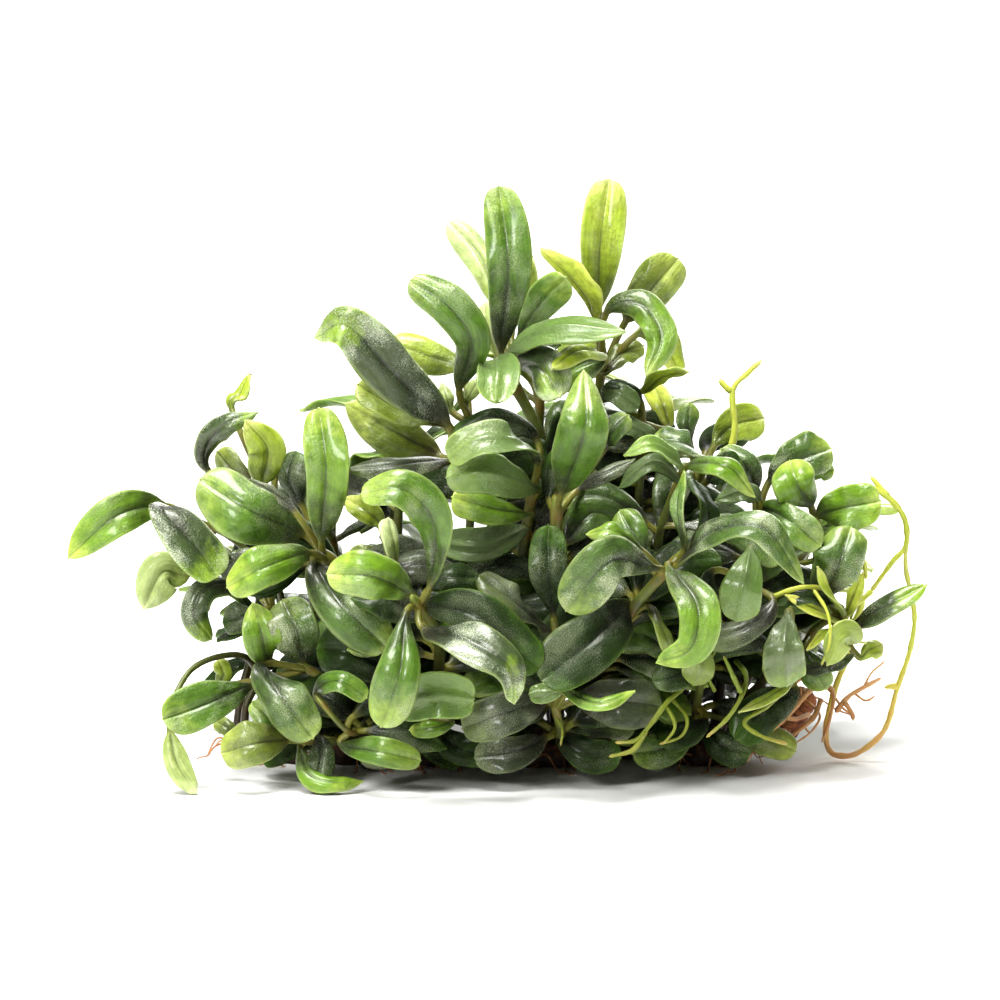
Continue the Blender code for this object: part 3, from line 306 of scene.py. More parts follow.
def bark():
    """Red-brown woody skin, paler on its ridges, and nearly black with painted shade where it meets the
    ground.
    """
    skin, tree, shader = skin_tree("rhizome bark")
    ring = mark(tree, "ring")
    place = position(tree)
    height = node(tree, "SeparateXYZ", {0: place}).outputs["Z"]
    patches = mottle(tree, place, 420.0)
    splits = mottle(tree, place, 900.0, 4.0, (0.35, 1.0, 1.0))
    grain = mottle(tree, place, 2600.0, 4.0)
    scars = times(tree, eased(tree, ring, 0.55, 0.95), eased(tree, patches, 0.35, 0.6, 0.2, 0.8))
    wood = colours(
        tree, patches,
        (0.25, (0.09, 0.028, 0.014)), (0.42, (0.27, 0.085, 0.034)),
        (0.56, (0.45, 0.17, 0.065)), (0.72, (0.54, 0.31, 0.14)),
    )
    ringed = mixed(tree, scars, wood, (0.035, 0.014, 0.010, 1.0))
    cracks = eased(tree, splits, 0.30, 0.46, 0.85, 0.0)
    cracked = mixed(tree, cracks, ringed, (0.020, 0.010, 0.008, 1.0))
    flaked = mixed(tree, eased(tree, grain, 0.52, 0.75, 0.0, 0.7), cracked, (0.52, 0.28, 0.14, 1.0))
    # Painted shade: the bark darkens nearly to black low down, where it meets the ground.
    ground_shade = plus(tree, times(tree, height, 1000.0), times(tree, patches, 1.6))
    colour = mixed(tree, eased(tree, ground_shade, 1.6, 4.6, 0.94, 0.0), flaked, (0.030, 0.020, 0.014, 1.0))
    tree.links.new(colour, shader.inputs["Base Color"])
    tree.links.new(eased(tree, grain, 0.2, 0.8, 0.5, 0.85), shader.inputs["Roughness"])
    dented(tree, shader, (patches, 0.8, 0.35), (splits, 0.7, 0.30), (grain, 0.5, 0.08))
    return skin


RHIZOME_SIDES = 32
RHIZOME_STEPS_PER_MM = 4.5
RING_PITCH = 1.25
BARK_FIT = 0.93
RING_HEIGHT = 0.06
FURROW_HEIGHT = 0.05
END_REACH = 0.8
LUMPS = 26
LUMP_SIZE = (0.08, 0.34)
LUMP_REACH = 0.8


def bark_ring(spot, turn):
    """How near a place on the bark is to the middle between two rings, from 0 to 1."""
    slant = 0.35 * math.sin(turn + spot * 0.7) + 0.3 * math.sin(spot * 1.9)
    return abs((spot / RING_PITCH + slant) % 1.0 - 0.5) * 2


def bark_girth(radius, length, lumps, spot, turn):
    """The radius at a place: rings of old scars, furrows, lumps, and a rounded end."""
    furrow = math.sin(5 * turn + 2.2 * math.sin(spot * 0.9)) * math.sin(2.7 * spot + turn)
    size = radius * (BARK_FIT - RHIZOME_TAPER * spot / length)
    size = size + RING_HEIGHT * bark_ring(spot, turn) + FURROW_HEIGHT * furrow
    for where, way, swell in lumps:
        near = ((spot - where) / LUMP_REACH) ** 2 + (1 - math.cos(turn - way)) * 2.4
        size += swell * radius * math.exp(-near)
    from_end = min(spot, length - spot) / (radius * END_REACH)
    return size * math.sqrt(1 - (1 - min(from_end, 1.0)) ** 2 * 0.95)


chance = random.Random(31)
taken = []
rhizome_axes = []
bark_skin = bark()
for name, (radius, points) in RHIZOMES.items():
    axis = [placed(x, y, height[0] if height else radius * RHIZOME_SINK) for x, y, *height in points]
    coarse = smooth_path(axis, 2 * len(axis))
    rhizome_axes.append((radius, coarse))
    room = tube_room(coarse, radius, 6, taper=RHIZOME_TAPER, knobs=RHIZOME_KNOBS, cut=True)
    taken.append((name, *room))
    length = length_of(coarse)
    count = int(length * RHIZOME_STEPS_PER_MM)
    lumps = []
    for _ in range(LUMPS):
        lumps.append((chance.uniform(0, length), chance.uniform(0, math.tau), chance.uniform(*LUMP_SIZE)))
    spots = [length * index / (count - 1) for index in range(count)]
    turns = [math.tau * number / RHIZOME_SIDES for number in range(RHIZOME_SIDES)]
    girths = [[bark_girth(radius, length, lumps, spot, turn) for turn in turns] for spot in spots]
    rings = [1 - bark_ring(spot, turn) for spot in spots for turn in turns]
    corners, faces = swept(smooth_path(axis, count), girths, RHIZOME_SIDES)
    for corner in corners:
        corner.z = max(corner.z, 0.0)
    built(name + "_bark", corners, faces, [bark_skin], "rhizome", name, marks={"ring": rings})

# The roots are thin round cords that grow out of the rhizomes and the lower stems. They
# loop freely at the right, hang or run along the ground, and some fork. They are soft,
# yellow-green where they are young, and orange or brown where they are old.
VIEW_TILT = math.radians(10)
ROOTS = {
    "root_loop": (
        0.36, "root",
        (
            (
                (34.6, 17.6, -1), (36.2, 16.5, 0), (35.5, 14.0, 1.4), (34.9, 11.0, 2.6), (33.6, 7.5, 3.2),
                (32.7, 3.4, 2.8), (33.2, 1.1, 2.6), (35.0, 0.6, 2.0), (38.4, 3.2, 1.4), (39.8, 7.6, 0.8),
                (41.0, 11.2, 0.5), (41.5, 14.4, 0), (41.2, 16.8, -0.3), (40.6, 19.6, -0.7), (40.6, 22.2, -1),
            ),
            (
                (33.6, 25.2, -1), (36.2, 27.7, -1.6), (38.6, 26.9, -1.5), (40.4, 24.7, -1), (40.6, 22.0, -1),
                (39.4, 20.5, -1), (38.3, 19.0, -0.5), (37.2, 17.4, 0.5),
            ),
            ((39.8, 7.8, 0.8), (39.1, 7.8, 0.3), (38.5, 7.7, 0)),
            ((38.9, 26.7, -1.5), (37.6, 28.2, -1.2), (37.0, 28.9, -1)),
        ),
    ),
    "root_brown": (
        0.3, "brown root",
        (
            ((33.6, 5.2, 0), (34.8, 6.7, -0.6), (36.0, 7.5, -0.8), (38.2, 8.7, -1.4)),
            ((34.4, 6.4, -0.4), (35.2, 5.2, -1), (35.4, 4.4, -1.2)),
        ),
    ),
    "root_top": (
        0.38, "root",
        (
            ((22.8, 30.5, 3), (23.5, 33.5, 3), (23.3, 37.4, 3.5), (24.8, 39.2, 4), (26.2, 40.5, 4)),
            ((23.3, 37.2, 3.5), (22.4, 38.0, 3.6), (22.0, 38.6, 4)),
        ),
    ),
    "root_low_front": (
        0.3, "root",
        (
            ((23.5, 10.5, -8), (24.5, 9.0, -12), (24.0, 7.0, -15), (22.6, 4.8, -16), (20.5, 2.9, -16.5)),
            ((24.0, 7.2, -15), (22.6, 10.2, -15.4), (22.2, 11.0, -15.4)),
        ),
    ),
    "root_low_right": (
        0.3, "root",
        (
            ((28.2, 7.4, -7), (26.5, 5.9, -13), (24.3, 4.4, -14.4), (26.0, 3.0, -14.6), (28.6, 2.2, -14)),
        ),
    ),
    "root_front_tips": (
        0.3, "root",
        (
            ((18.2, 7.8, -12.5), (16.6, 6.4, -15.5), (14.8, 4.0, -17.5), (13.4, 2.6, -18), (11.4, 2.4, -18)),
            ((14.6, 3.7, -17.6), (13.2, 1.7, -18.4), (10.8, 1.0, -18.6)),
        ),
    ),
    "root_ground_brown": (
        0.36, "brown root",
        (((28.6, 3.4, -0.6), (27.2, 3.0, -3), (25.4, 1.6, -5.6), (24.6, 0.4, -8)),),
    ),
    "root_back_left": (
        0.42, "root",
        (((-13.8, 5.0, 17), (-15.0, 4.4, 20.6), (-13.0, 4.2, 24), (-9.0, 4.6, 25.2)),),
    ),
    "root_back_right": (
        0.42, "root",
        (((12.4, 4.6, 18.6), (14.6, 4.6, 22), (13.4, 4.9, 25.4), (9.6, 4.8, 26)),),
    ),
}
ROOT_SIDES = 14
ROOT_STEPS_PER_MM = 4.0
ROOT_TAPER = 0.35
ROOT_LIFT = 1.12
ROOT_FIT = 0.98
LONG_STRAND = 6


def seen(point):
    """The place of a point given as seen from the front: across, up, and how far back."""
    across, up, back = point
    height = (up - back * math.sin(VIEW_TILT)) / math.cos(VIEW_TILT)
    return Vector((across + SHIFT_X, back + SHIFT_Y, height))


def soft(shader, weight, reach, depth):
    """Lets light sink into a skin: how much, how far in each colour, and how deep in metres."""
    shader.inputs["Subsurface Weight"].default_value = weight
    shader.inputs["Subsurface Radius"].default_value = reach
    shader.inputs["Subsurface Scale"].default_value = depth


def root_skin(name, high, middle, low, end):
    """Soft skin of a root, coloured from its high parts to the parts on the ground."""
    skin, tree, shader = skin_tree(name)
    place = position(tree)
    height = node(tree, "SeparateXYZ", {0: place}).outputs["Z"]
    along = mark(tree, "along")
    patches = mottle(tree, place, 500.0)
    fuzz = mottle(tree, place, 3200.0, 4.0)
    level = plus(tree, times(tree, height, 55.0), times(tree, patches, 0.3))
    run = colours(tree, level, (0.12, low), (0.45, middle), (0.85, high))
    tipped = mixed(tree, eased(tree, along, 0.86, 1.0, 0.0, 0.55), run, (*end, 1.0))
    fleck = tuple(0.5 * one + 0.5 * other for one, other in zip(middle, (0.80, 0.72, 0.42)))
    flecked = mixed(tree, eased(tree, fuzz, 0.56, 0.8, 0.0, 0.6), tipped, (*fleck, 1.0))
    tree.links.new(flecked, shader.inputs["Base Color"])
    tree.links.new(eased(tree, fuzz, 0.2, 0.8, 0.35, 0.65), shader.inputs["Roughness"])
    soft(shader, 0.25, (1.0, 0.7, 0.2), 0.0006)
    dented(tree, shader, (patches, 0.5, 0.12), (fuzz, 0.45, 0.05))
    return skin


root_skins = {
    "root": root_skin(
        "young root", (0.46, 0.51, 0.07), (0.62, 0.50, 0.11), (0.74, 0.41, 0.21), (0.66, 0.62, 0.24)
    ),
    "shaded root": root_skin(
        "shaded root", (0.15, 0.21, 0.018), (0.22, 0.25, 0.025), (0.34, 0.25, 0.06), (0.50, 0.36, 0.13)
    ),
    "brown root": root_skin(
        "old root", (0.62, 0.40, 0.20), (0.52, 0.28, 0.12), (0.38, 0.16, 0.07), (0.68, 0.48, 0.28)
    ),
}
# The low roots at the front take the shaded root skin: the young root's colours darkened as painted shade.
SHADED_ROOTS = ("root_low_front", "root_low_right", "root_front_tips")


def root_cord(strand, radius):
    """The skin of one strand of a root, blunt at both ends, and where each corner is along it."""
    length = length_of(strand)
    count = max(int(length * ROOT_STEPS_PER_MM), 8)
    path = smooth_path(strand, count)
    girths = []
    swell = chance.uniform(0, math.tau)
    for index, point in enumerate(path):
        spot = index / (count - 1)
        uneven = 0.07 * math.sin(spot * length * 1.7 + swell) + 0.05 * math.sin(spot * length * 4.3)
        from_end = min(index, count - 1 - index) / (radius * ROOT_STEPS_PER_MM)
        blunt = math.sqrt(1 - (1 - min(from_end, 1.0)) ** 2 * 0.96)
        girths.append(radius * (ROOT_FIT - ROOT_TAPER * spot + uneven) * blunt)
        over = point.z - radius
        point.z = radius + 0.5 * (over + math.sqrt(over**2 + radius**2))
    run = []
    for index in range(count):
        run += [index / (count - 1)] * ROOT_SIDES
    return *swept(path, girths, ROOT_SIDES), run


def root_cords(strands):
    """One skin over several strands, each given as its points and its radius."""
    corners = []
    faces = []
    run = []
    for points, radius in strands:
        cord_corners, cord_faces, cord_run = root_cord(points, radius)
        faces += [tuple(len(corners) + corner for corner in face) for face in cord_faces]
        corners += cord_corners
        run += cord_run
    return corners, faces, {"along": run}


for name, (radius, tone, strands) in ROOTS.items():
    strands = [[seen(point) for point in strand] for strand in strands]
    for strand in strands:
        coarse = smooth_path(strand, len(strand) + 2)
        for point in coarse:
            point.z = max(point.z, radius * ROOT_LIFT)
        sides = 6 if len(strand) > LONG_STRAND else 4
        taken.append((name, *tube_room(coarse, radius, sides, taper=ROOT_TAPER)))
    corners, faces, marks = root_cords([(strand, radius) for strand in strands])
    skin = root_skins["shaded root" if name in SHADED_ROOTS else tone]
    built(name + "_cord", corners, faces, [skin], "root", name, marks=marks)

# The fine roots are soft too, from hair-thin to nearly as thick as the others. Some fork
# off the larger roots and stems on the right, and many short brown ones come out all
# along the rhizomes and curl down to the ground.
FINE_ROOTS = {
    "root_loop": (
        "root",
        (0.30, (37.2, 17.4, 0.5), (36.0, 16.3, -1.5), (34.6, 15.4, -4.0)),
        (0.24, (36.6, 18.6, -1.0), (36.4, 20.2, -2.0), (35.8, 20.9, -2.0), (35.2, 20.5, -2.0)),
        (0.28, (27.0, 16.8, -11.0), (30.0, 17.8, -11.0), (33.0, 17.6, -8.0), (36.4, 17.2, -2.0)),
        (0.20, (31.2, 17.6, -11.0), (32.6, 15.2, -12.5), (32.8, 12.4, -12.5), (32.0, 10.0, -11.0)),
        (0.20, (33.2, 17.4, -8.0), (34.4, 19.2, -8.0), (34.0, 21.0, -7.6), (33.0, 20.4, -8.0)),
        (0.18, (36.0, 16.8, -3.0), (35.0, 14.6, -7.0), (35.4, 12.6, -8.0), (36.6, 12.2, -7.6)),
    ),
    "root_brown": (
        "brown root",
        (0.16, (31.4, 8.6, 1.0), (33.0, 7.4, 0.5), (34.4, 5.6, 0.4), (35.6, 4.9, 0.0)),
        (0.15, (35.4, 7.2, -0.7), (36.6, 6.4, -1.0), (37.6, 6.9, -1.2)),
        (0.14, (36.4, 7.7, -0.9), (37.2, 9.2, -1.0), (38.6, 10.4, -1.2)),
        (0.14, (30.6, 6.4, 0.0), (32.0, 5.0, -2.0), (31.2, 3.4, -4.0), (29.6, 2.2, -5.0)),
    ),
    "rhizome_main": (
        "brown root",
        (0.34, (31.8, 8.2, 0.0), (30.2, 6.6, -3.0), (28.4, 4.6, -6.0), (26.6, 3.2, -8.0)),
        (0.30, (32.2, 6.6, 0.0), (31.4, 4.8, -2.4), (29.8, 3.4, -4.4), (27.6, 1.8, -6.4)),
        (0.26, (31.0, 5.0, 0.0), (29.2, 4.6, -4.0), (27.0, 5.4, -6.6), (25.6, 5.2, -7.6)),
        (0.24, (32.4, 8.6, 1.0), (33.4, 7.0, -1.0), (33.0, 4.6, -2.0), (32.2, 2.2, -2.6)),
        (0.22, (31.2, 9.2, 0.6), (29.6, 8.2, -2.6), (28.6, 6.4, -5.0), (28.8, 4.4, -6.2)),
    ),
    "root_low_front": (
        "shaded root",
        (0.18, (6.3, 6.4, -12.0), (5.6, 5.2, -14.0), (6.2, 3.6, -15.0), (6.0, 2.0, -15.4)),
    ),
    "root_low_right": (
        "shaded root",
        (0.22, (17.0, 6.8, -12.0), (18.6, 4.8, -14.0), (18.0, 3.0, -15.0), (15.8, 2.2, -15.4)),
        (0.20, (21.4, 7.4, -12.0), (20.6, 9.4, -14.6), (21.6, 11.8, -15.0), (23.0, 13.0, -14.0)),
    ),
    "root_front_tips": (
        "shaded root",
        (0.22, (16.4, 6.2, -15.4), (17.4, 4.0, -16.0), (16.2, 2.2, -16.4)),
    ),
}
HAIR_PITCH = 0.8
HAIR_RADIUS = (0.07, 0.14)
HAIR_LENGTH = (2.0, 5.5)
HAIR_RISE = (-0.2, 0.45)
HAIR_SLANT = 0.7
HAIR_CURL = 0.5
UP = Vector((0, 0, 1))


def hair_strand(axis, radius, spot):
    """A short root that leaves a rhizome at its side and curls down to the ground."""
    index = min(int(spot * (len(axis) - 1)), len(axis) - 2)
    start = axis[index].lerp(axis[index + 1], spot * (len(axis) - 1) - index)
    ahead = (axis[index + 1] - axis[index]).normalized()
    out = Vector((ahead.y, -ahead.x, 0.0)).normalized() * chance.choice((-1, 1))
    out += ahead * chance.uniform(-HAIR_SLANT, HAIR_SLANT)
    length = chance.uniform(*HAIR_LENGTH)
    rise = chance.uniform(*HAIR_RISE)
    first = start + out * radius * 0.85 + UP * (radius * 0.3)
    curl = Vector((-out.y, out.x, 0.0)) * chance.uniform(-HAIR_CURL, HAIR_CURL)
    second = first + (out + UP * rise) * length * 0.4
    third = second + (out + curl - UP) * length * 0.35
    fourth = third + (out * 0.6 + curl * 2 - UP * 0.6) * length * 0.3
    return [first, second, third, fourth]


strands = {tone: [] for tone in root_skins}
owners = {tone: set() for tone in root_skins}
for name, (tone, *rows) in FINE_ROOTS.items():
    owners[tone].add(name)
    for radius, *points in rows:
        strands[tone].append(([seen(point) for point in points], radius))
for name, (radius, axis) in zip(RHIZOMES, rhizome_axes):
    owners["brown root"].add(name)
    length = length_of(axis)
    for number in range(int(length / HAIR_PITCH)):
        spot = (number + chance.uniform(0, 1)) * HAIR_PITCH / length
        strand = hair_strand(axis, radius, min(spot, 0.999))
        strands["brown root"].append((strand, chance.uniform(*HAIR_RADIUS)))
for tone, skin in root_skins.items():
    name = "fine_" + tone.replace(" ", "_") + "s"
    corners, faces, marks = root_cords(strands[tone])
    built(name, corners, faces, [skin], "root", *sorted(owners[tone]), marks=marks)

# The stems rise from the rhizomes, one to a shoot, and carry its leaves. They are firm
# and round, brown at the foot and olive to yellow-green above, thinly ringed, and swell
# into an orange-brown joint wherever a leaf grows.
FACINGS = {
    "front": Vector((0.0, -1.0, 0.3)),
    "up": Vector((0.0, -0.7, 0.75)),
    "left": Vector((-0.75, -0.7, 0.2)),
    "right": Vector((0.75, -0.7, 0.2)),
    "under": Vector((0.0, -0.8, -0.6)),
}

# Each shoot that is seen: where its foot stands, its radius, the bends of its stem, and
# its leaves, each as its outline, the way its upper face looks, its width, its tone, and
# its points from base to tip as seen from the front.
FRONT_SHOOTS = {
    "shoot_top_centre": (
        (3.2, 2.5), 0.75, ((4.0, 24.5, -3), (4.5, 31.0, 0), (1.5, 36.0, 2), (0.3, 40.3, 2)),
        (
            ("oblong", "front", 4.6, "green", (0.1, 41.5, 1), (0.8, 49.7, -1), (-0.1, 57.8, 2)),
            ("lance", "up", 3.8, "green", (0.9, 41.2, -3), (6.0, 43.6, -7), (12.4, 43.2, -9)),
            ("spoon", "front", 3.7, "green", (1.9, 42.5, 0), (4.1, 46.2, -2), (6.6, 48.7, -4)),
            ("spoon", "front", 4.4, "green", (0.1, 40.7, -3), (-0.2, 39.3, -9), (-0.4, 36.2, -12)),
            ("spoon", "front", 4.4, "silver", (1.3, 39.6, -2), (3.9, 39.7, -7), (6.0, 36.8, -9)),
            ("oblong", "front", 3.2, "pale", (0.0, 45.4, 8), (-1.9, 50.8, 12), (-5.1, 54.4, 15)),
            ("lance", "left", 2.8, "moss", (1.2, 43.5, 6), (2.8, 47.5, 8), (3.2, 50.9, 9)),
            ("oblong", "left", 2.6, "pale", (-0.3, 41.1, 4), (-1.1, 43.6, 5), (-1.4, 46.2, 7)),
        ),
    ),
    "shoot_top_right": (
        (8.2, 3.4), 0.6, ((9.0, 26.5, 2), (9.6, 33.5, 4), (10.5, 38.0, 5), (10.4, 42.0, 5)),
        (
            ("oblong", "front", 4.5, "lime", (9.9, 45.8, 4), (10.0, 52.2, 3), (10.9, 58.5, 5)),
            ("lance", "left", 4.2, "lime", (9.6, 44.6, 2), (7.6, 48.2, 0), (4.1, 51.5, -2)),
            ("oblong", "front", 4.6, "moss", (12.6, 44.4, 6), (15.2, 47.6, 7), (17.8, 50.7, 8)),
            (
                "lance", "up", 3.5, "fresh",
                (10.6, 45.2, 0), (14.0, 46.0, -2), (16.0, 42.7, -4), (14.6, 38.9, -5),
            ),
            ("oblong", "right", 3.5, "lime", (13.6, 43.0, 4), (16.0, 43.0, 6), (17.9, 39.3, 5)),
            ("lance", "under", 2.0, "fresh", (14.0, 37.3, 5), (16.2, 38.9, 4), (18.8, 39.3, 4)),
            ("oblong", "up", 2.6, "moss", (10.7, 39.3, 3), (12.2, 41.1, 4), (14.3, 41.9, 5)),
            ("lance", "up", 3.0, "lime", (10.4, 40.8, -1), (7.8, 41.3, -5), (5.2, 39.5, -8)),
        ),
    ),
    "shoot_twist": (
        (-2.6, 2.8), 0.5, ((0.0, 24.5, -3), (-2.2, 31.5, -3), (-4.0, 36.7, -3)),
        (
            (
                "oblong", "front", 4.2, "green",
                (-4.1, 37.6, -4), (-2.8, 42.0, -7), (-4.9, 45.5, -7), (-8.9, 48.3, -5),
            ),
            ("oblong", "front", 3.8, "lime", (-3.8, 39.3, 0), (-7.5, 41.0, 1), (-11.0, 42.2, 2)),
        ),
    ),
    "shoot_left_top": (
        (-6.0, 3.0), 0.55, ((-3.0, 25.5, -6), (-4.8, 29.5, -5), (-5.1, 33.7, -5)),
        (
            (
                "lance", "front", 5.3, "silver",
                (-5.2, 34.1, -6), (-10.3, 38.9, -10), (-15.2, 43.8, -12), (-18.4, 42.6, -9),
            ),
            ("spoon", "up", 4.0, "moss", (-5.5, 33.9, -3), (-10.0, 35.5, -5), (-14.2, 38.0, -5)),
            ("lance", "front", 4.7, "moss", (-6.0, 30.9, -1), (-10.5, 33.3, -2), (-15.4, 36.1, -1)),
            ("lance", "up", 3.1, "dusk", (-5.4, 30.3, -5), (-10.0, 30.0, -9), (-15.2, 29.5, -9)),
        ),
    ),
    "shoot_centre_left": (
        (0.4, 2.5), 0.7, ((2.2, 20.5, -5), (2.6, 24.5, -7), (3.5, 28.7, -8)),
        (
            ("oblong", "up", 3.0, "deep", (3.8, 32.3, -5), (-0.5, 34.8, -6), (-4.7, 32.9, -6)),
            (
                "oblong", "up", 4.2, "silver",
                (3.7, 30.2, -8), (1.4, 32.3, -12), (-1.8, 32.6, -13), (-5.0, 30.5, -12),
            ),
            ("oblong", "front", 4.3, "green", (3.5, 27.5, -9), (-1.0, 29.1, -15), (-5.3, 28.7, -14)),
            ("spoon", "front", 3.6, "fresh", (2.9, 25.0, -8), (-1.0, 25.7, -11), (-4.7, 26.8, -12)),
            ("oblong", "front", 3.5, "deep", (2.6, 23.7, -7), (-1.5, 21.9, -9), (-5.7, 22.2, -8)),
        ),
    ),
    "shoot_centre": (
        (5.7, 2.9), 0.8, ((5.6, 20.5, -10), (4.5, 24.0, -12), (5.6, 26.8, -12)),
        (
            ("lance", "front", 5.2, "green", (6.1, 27.2, -13), (8.4, 33.3, -18), (8.3, 39.3, -14)),
            ("oblong", "left", 2.6, "deep", (4.9, 26.5, -9), (4.8, 28.7, -8), (5.3, 31.5, -6)),
            ("spoon", "up", 2.9, "silver", (10.2, 31.3, -4), (11.4, 33.3, -5), (12.8, 34.9, -5)),
        ),
    ),
    "shoot_upper_right": (
        (12.0, 4.0), 0.55, ((14.0, 28.5, 0), (14.6, 32.5, 2), (14.2, 36.5, 2)),
        (
            ("oblong", "up", 2.8, "deep", (10.4, 37.3, 1), (12.0, 37.0, -1), (13.8, 35.7, -1)),
            ("oblong", "up", 2.6, "lime", (16.7, 33.7, 6), (16.2, 36.2, 8.5), (15.2, 38.5, 12)),
            ("oblong", "up", 2.8, "deep", (15.5, 31.8, -2), (13.6, 33.5, -2), (11.0, 33.9, -2)),
        ),
    ),
    "shoot_right_mid": (
        (14.8, 4.3), 0.5, ((16.0, 24.5, -8), (16.8, 27.3, -10), (18.3, 29.7, -11)),
        (
            ("lance", "up", 2.1, "fresh", (18.1, 29.6, -12), (15.2, 31.9, -15), (12.4, 30.9, -15)),
            ("lance", "up", 2.2, "deep", (17.9, 28.3, -11), (15.2, 30.2, -13), (11.9, 27.7, -13)),
            ("lance", "up", 2.7, "fresh", (18.6, 29.8, -12), (22.5, 29.8, -16), (25.2, 26.8, -15)),
        ),
    ),
    "shoot_right_front": (
        (7.9, -0.1), 0.7, ((11.2, 12.5, -12), (13.2, 15.7, -15), (16.8, 19.9, -17), (18.6, 21.7, -16)),
        (
            ("spoon", "front", 5.2, "silver", (15.6, 19.7, -18), (11.0, 20.5, -24), (6.6, 15.6, -22)),
            (
                "lance", "front", 4.2, "fresh",
                (16.7, 19.8, -18), (19.4, 16.5, -23), (19.0, 12.0, -24), (15.6, 10.4, -23),
            ),
            (
                "lance", "up", 3.6, "silver",
                (17.8, 20.2, -17), (21.2, 23.3, -20), (26.2, 23.5, -22), (30.0, 18.3, -21),
            ),
            ("oblong", "front", 6.2, "deep", (12.8, 15.9, -15), (9.0, 12.5, -20), (4.1, 8.6, -21)),
            ("spoon", "front", 3.4, "green", (14.5, 20.5, -15), (13.3, 23.0, -15), (12.0, 25.4, -13)),
            ("lance", "up", 2.4, "fresh", (14.0, 21.5, -17), (11.2, 23.3, -19), (8.6, 23.1, -18)),
            ("lance", "left", 2.1, "green", (18.3, 21.7, -17), (17.7, 25.5, -18), (18.3, 29.3, -14)),
            ("oblong", "right", 2.9, "deep", (19.0, 21.7, -15), (20.6, 25.0, -15), (19.2, 28.5, -12)),
        ),
    ),
    "shoot_right_arch": (
        (18.4, 1.0), 0.55, ((23.5, 15.5, -9), (24.5, 19.0, -11), (25.0, 21.7, -13)),
        (
            ("spoon", "front", 4.3, "green", (24.8, 21.7, -16), (24.2, 18.0, -20), (23.4, 14.5, -19)),
            ("oblong", "up", 3.3, "dusk", (27.2, 16.5, -12), (24.5, 13.7, -15), (20.2, 12.4, -15)),
            ("oblong", "right", 3.5, "deep", (21.2, 19.5, -12), (20.6, 16.5, -13), (21.5, 12.5, -12)),
        ),
    ),
    "shoot_right_upper": (
        (21.6, 4.4), 0.6, ((24.5, 18.5, -3), (25.2, 22.5, -4), (25.8, 25.8, -5)),
        (
            ("oblong", "up", 3.7, "silver", (25.4, 27.3, -4), (24.5, 29.7, -5), (22.1, 31.6, -4)),
            ("spoon", "front", 4.7, "silver", (26.8, 28.2, -3), (29.2, 30.2, -4), (33.0, 31.6, -3)),
            ("oblong", "front", 3.7, "green", (26.2, 25.7, -6), (29.0, 24.3, -10), (31.9, 21.9, -10)),
            ("lance", "up", 2.6, "deep", (25.8, 26.5, -8), (24.0, 27.3, -9), (21.6, 26.5, -9)),
        ),
    ),
    "shoot_right_side": (
        (25.3, 3.8), 0.6, ((30.8, 16.5, -2), (31.5, 20.5, -3), (31.7, 25.0, -4)),
        (
            ("oblong", "front", 4.5, "fresh", (31.0, 25.9, -6), (29.6, 28.0, -9), (28.9, 30.4, -7)),
            ("oblong", "front", 4.6, "silver", (31.8, 24.9, -5), (34.6, 25.8, -7), (37.9, 26.4, -7)),
            ("oblong", "right", 2.2, "fresh", (30.8, 28.0, 1), (32.0, 29.3, 1), (33.3, 29.5, 2)),
        ),
    ),
    "shoot_right_low": (
        (27.6, 3.0), 0.55, ((31.0, 12.5, -2), (32.6, 15.0, -5), (34.5, 15.5, -6)),
        (
            ("oblong", "front", 5.2, "silver", (32.4, 16.5, -7), (33.7, 20.0, -11), (34.9, 23.6, -9)),
            ("lance", "up", 3.1, "silver", (35.2, 14.0, -6), (38.8, 16.1, -8), (42.5, 17.9, -7)),
            ("lance", "up", 1.9, "deep", (33.8, 15.9, -9), (30.0, 16.8, -12), (26.4, 15.8, -12)),
            ("lance", "front", 3.1, "lime", (35.5, 12.5, -9), (34.2, 12.9, -12), (32.6, 10.1, -12)),
            ("spoon", "front", 2.1, "lime", (35.7, 10.9, -5), (36.8, 11.5, -5), (38.2, 12.0, -4)),
        ),
    ),
    "shoot_right_speckled": (
        (22.7, -0.3), 0.5, ((28.0, 10.5, -8), (29.0, 14.0, -11), (28.9, 15.9, -13)),
        (
            ("spoon", "front", 4.4, "silver", (28.6, 15.3, -14), (28.2, 11.5, -18), (28.5, 7.9, -16)),
            ("oblong", "front", 4.4, "deep", (29.5, 7.7, -7), (26.5, 5.7, -10), (23.5, 2.6, -11)),
        ),
    ),
    "shoot_left": (
        (-15.4, 1.1), 0.95, ((-14.0, 14.5, -3), (-15.5, 19.5, -6), (-18.2, 21.6, -7)),
        (
            ("oblong", "front", 4.5, "fresh", (-17.8, 22.5, -8), (-17.3, 29.5, -11), (-18.0, 35.6, -9)),
            ("oblong", "front", 6.2, "green", (-19.6, 23.1, -8), (-24.5, 25.3, -13), (-29.8, 28.5, -10)),
            ("oblong", "front", 4.3, "fresh", (-19.0, 21.2, -10), (-23.2, 19.9, -15), (-27.1, 17.8, -14)),
            ("oblong", "front", 5.3, "silver", (-18.6, 20.3, -9), (-15.5, 15.9, -16), (-11.2, 11.7, -17)),
            ("oblong", "left", 3.7, "deep", (-19.8, 26.0, -4), (-21.0, 28.7, -4), (-20.3, 31.3, -3)),
        ),
    ),
    "shoot_front": (
        (-6.9, -0.2), 0.7, ((-6.0, 11.5, -12), (-7.2, 15.0, -16), (-8.8, 17.0, -19)),
        (
            (
                "lance", "up", 4.8, "silver",
                (-7.6, 13.7, -20), (-3.5, 12.7, -25), (0.8, 10.1, -27), (1.4, 6.4, -25),
            ),
            ("spoon", "front", 4.8, "green", (-9.3, 15.3, -20), (-9.9, 9.5, -25), (-11.8, 4.0, -24)),
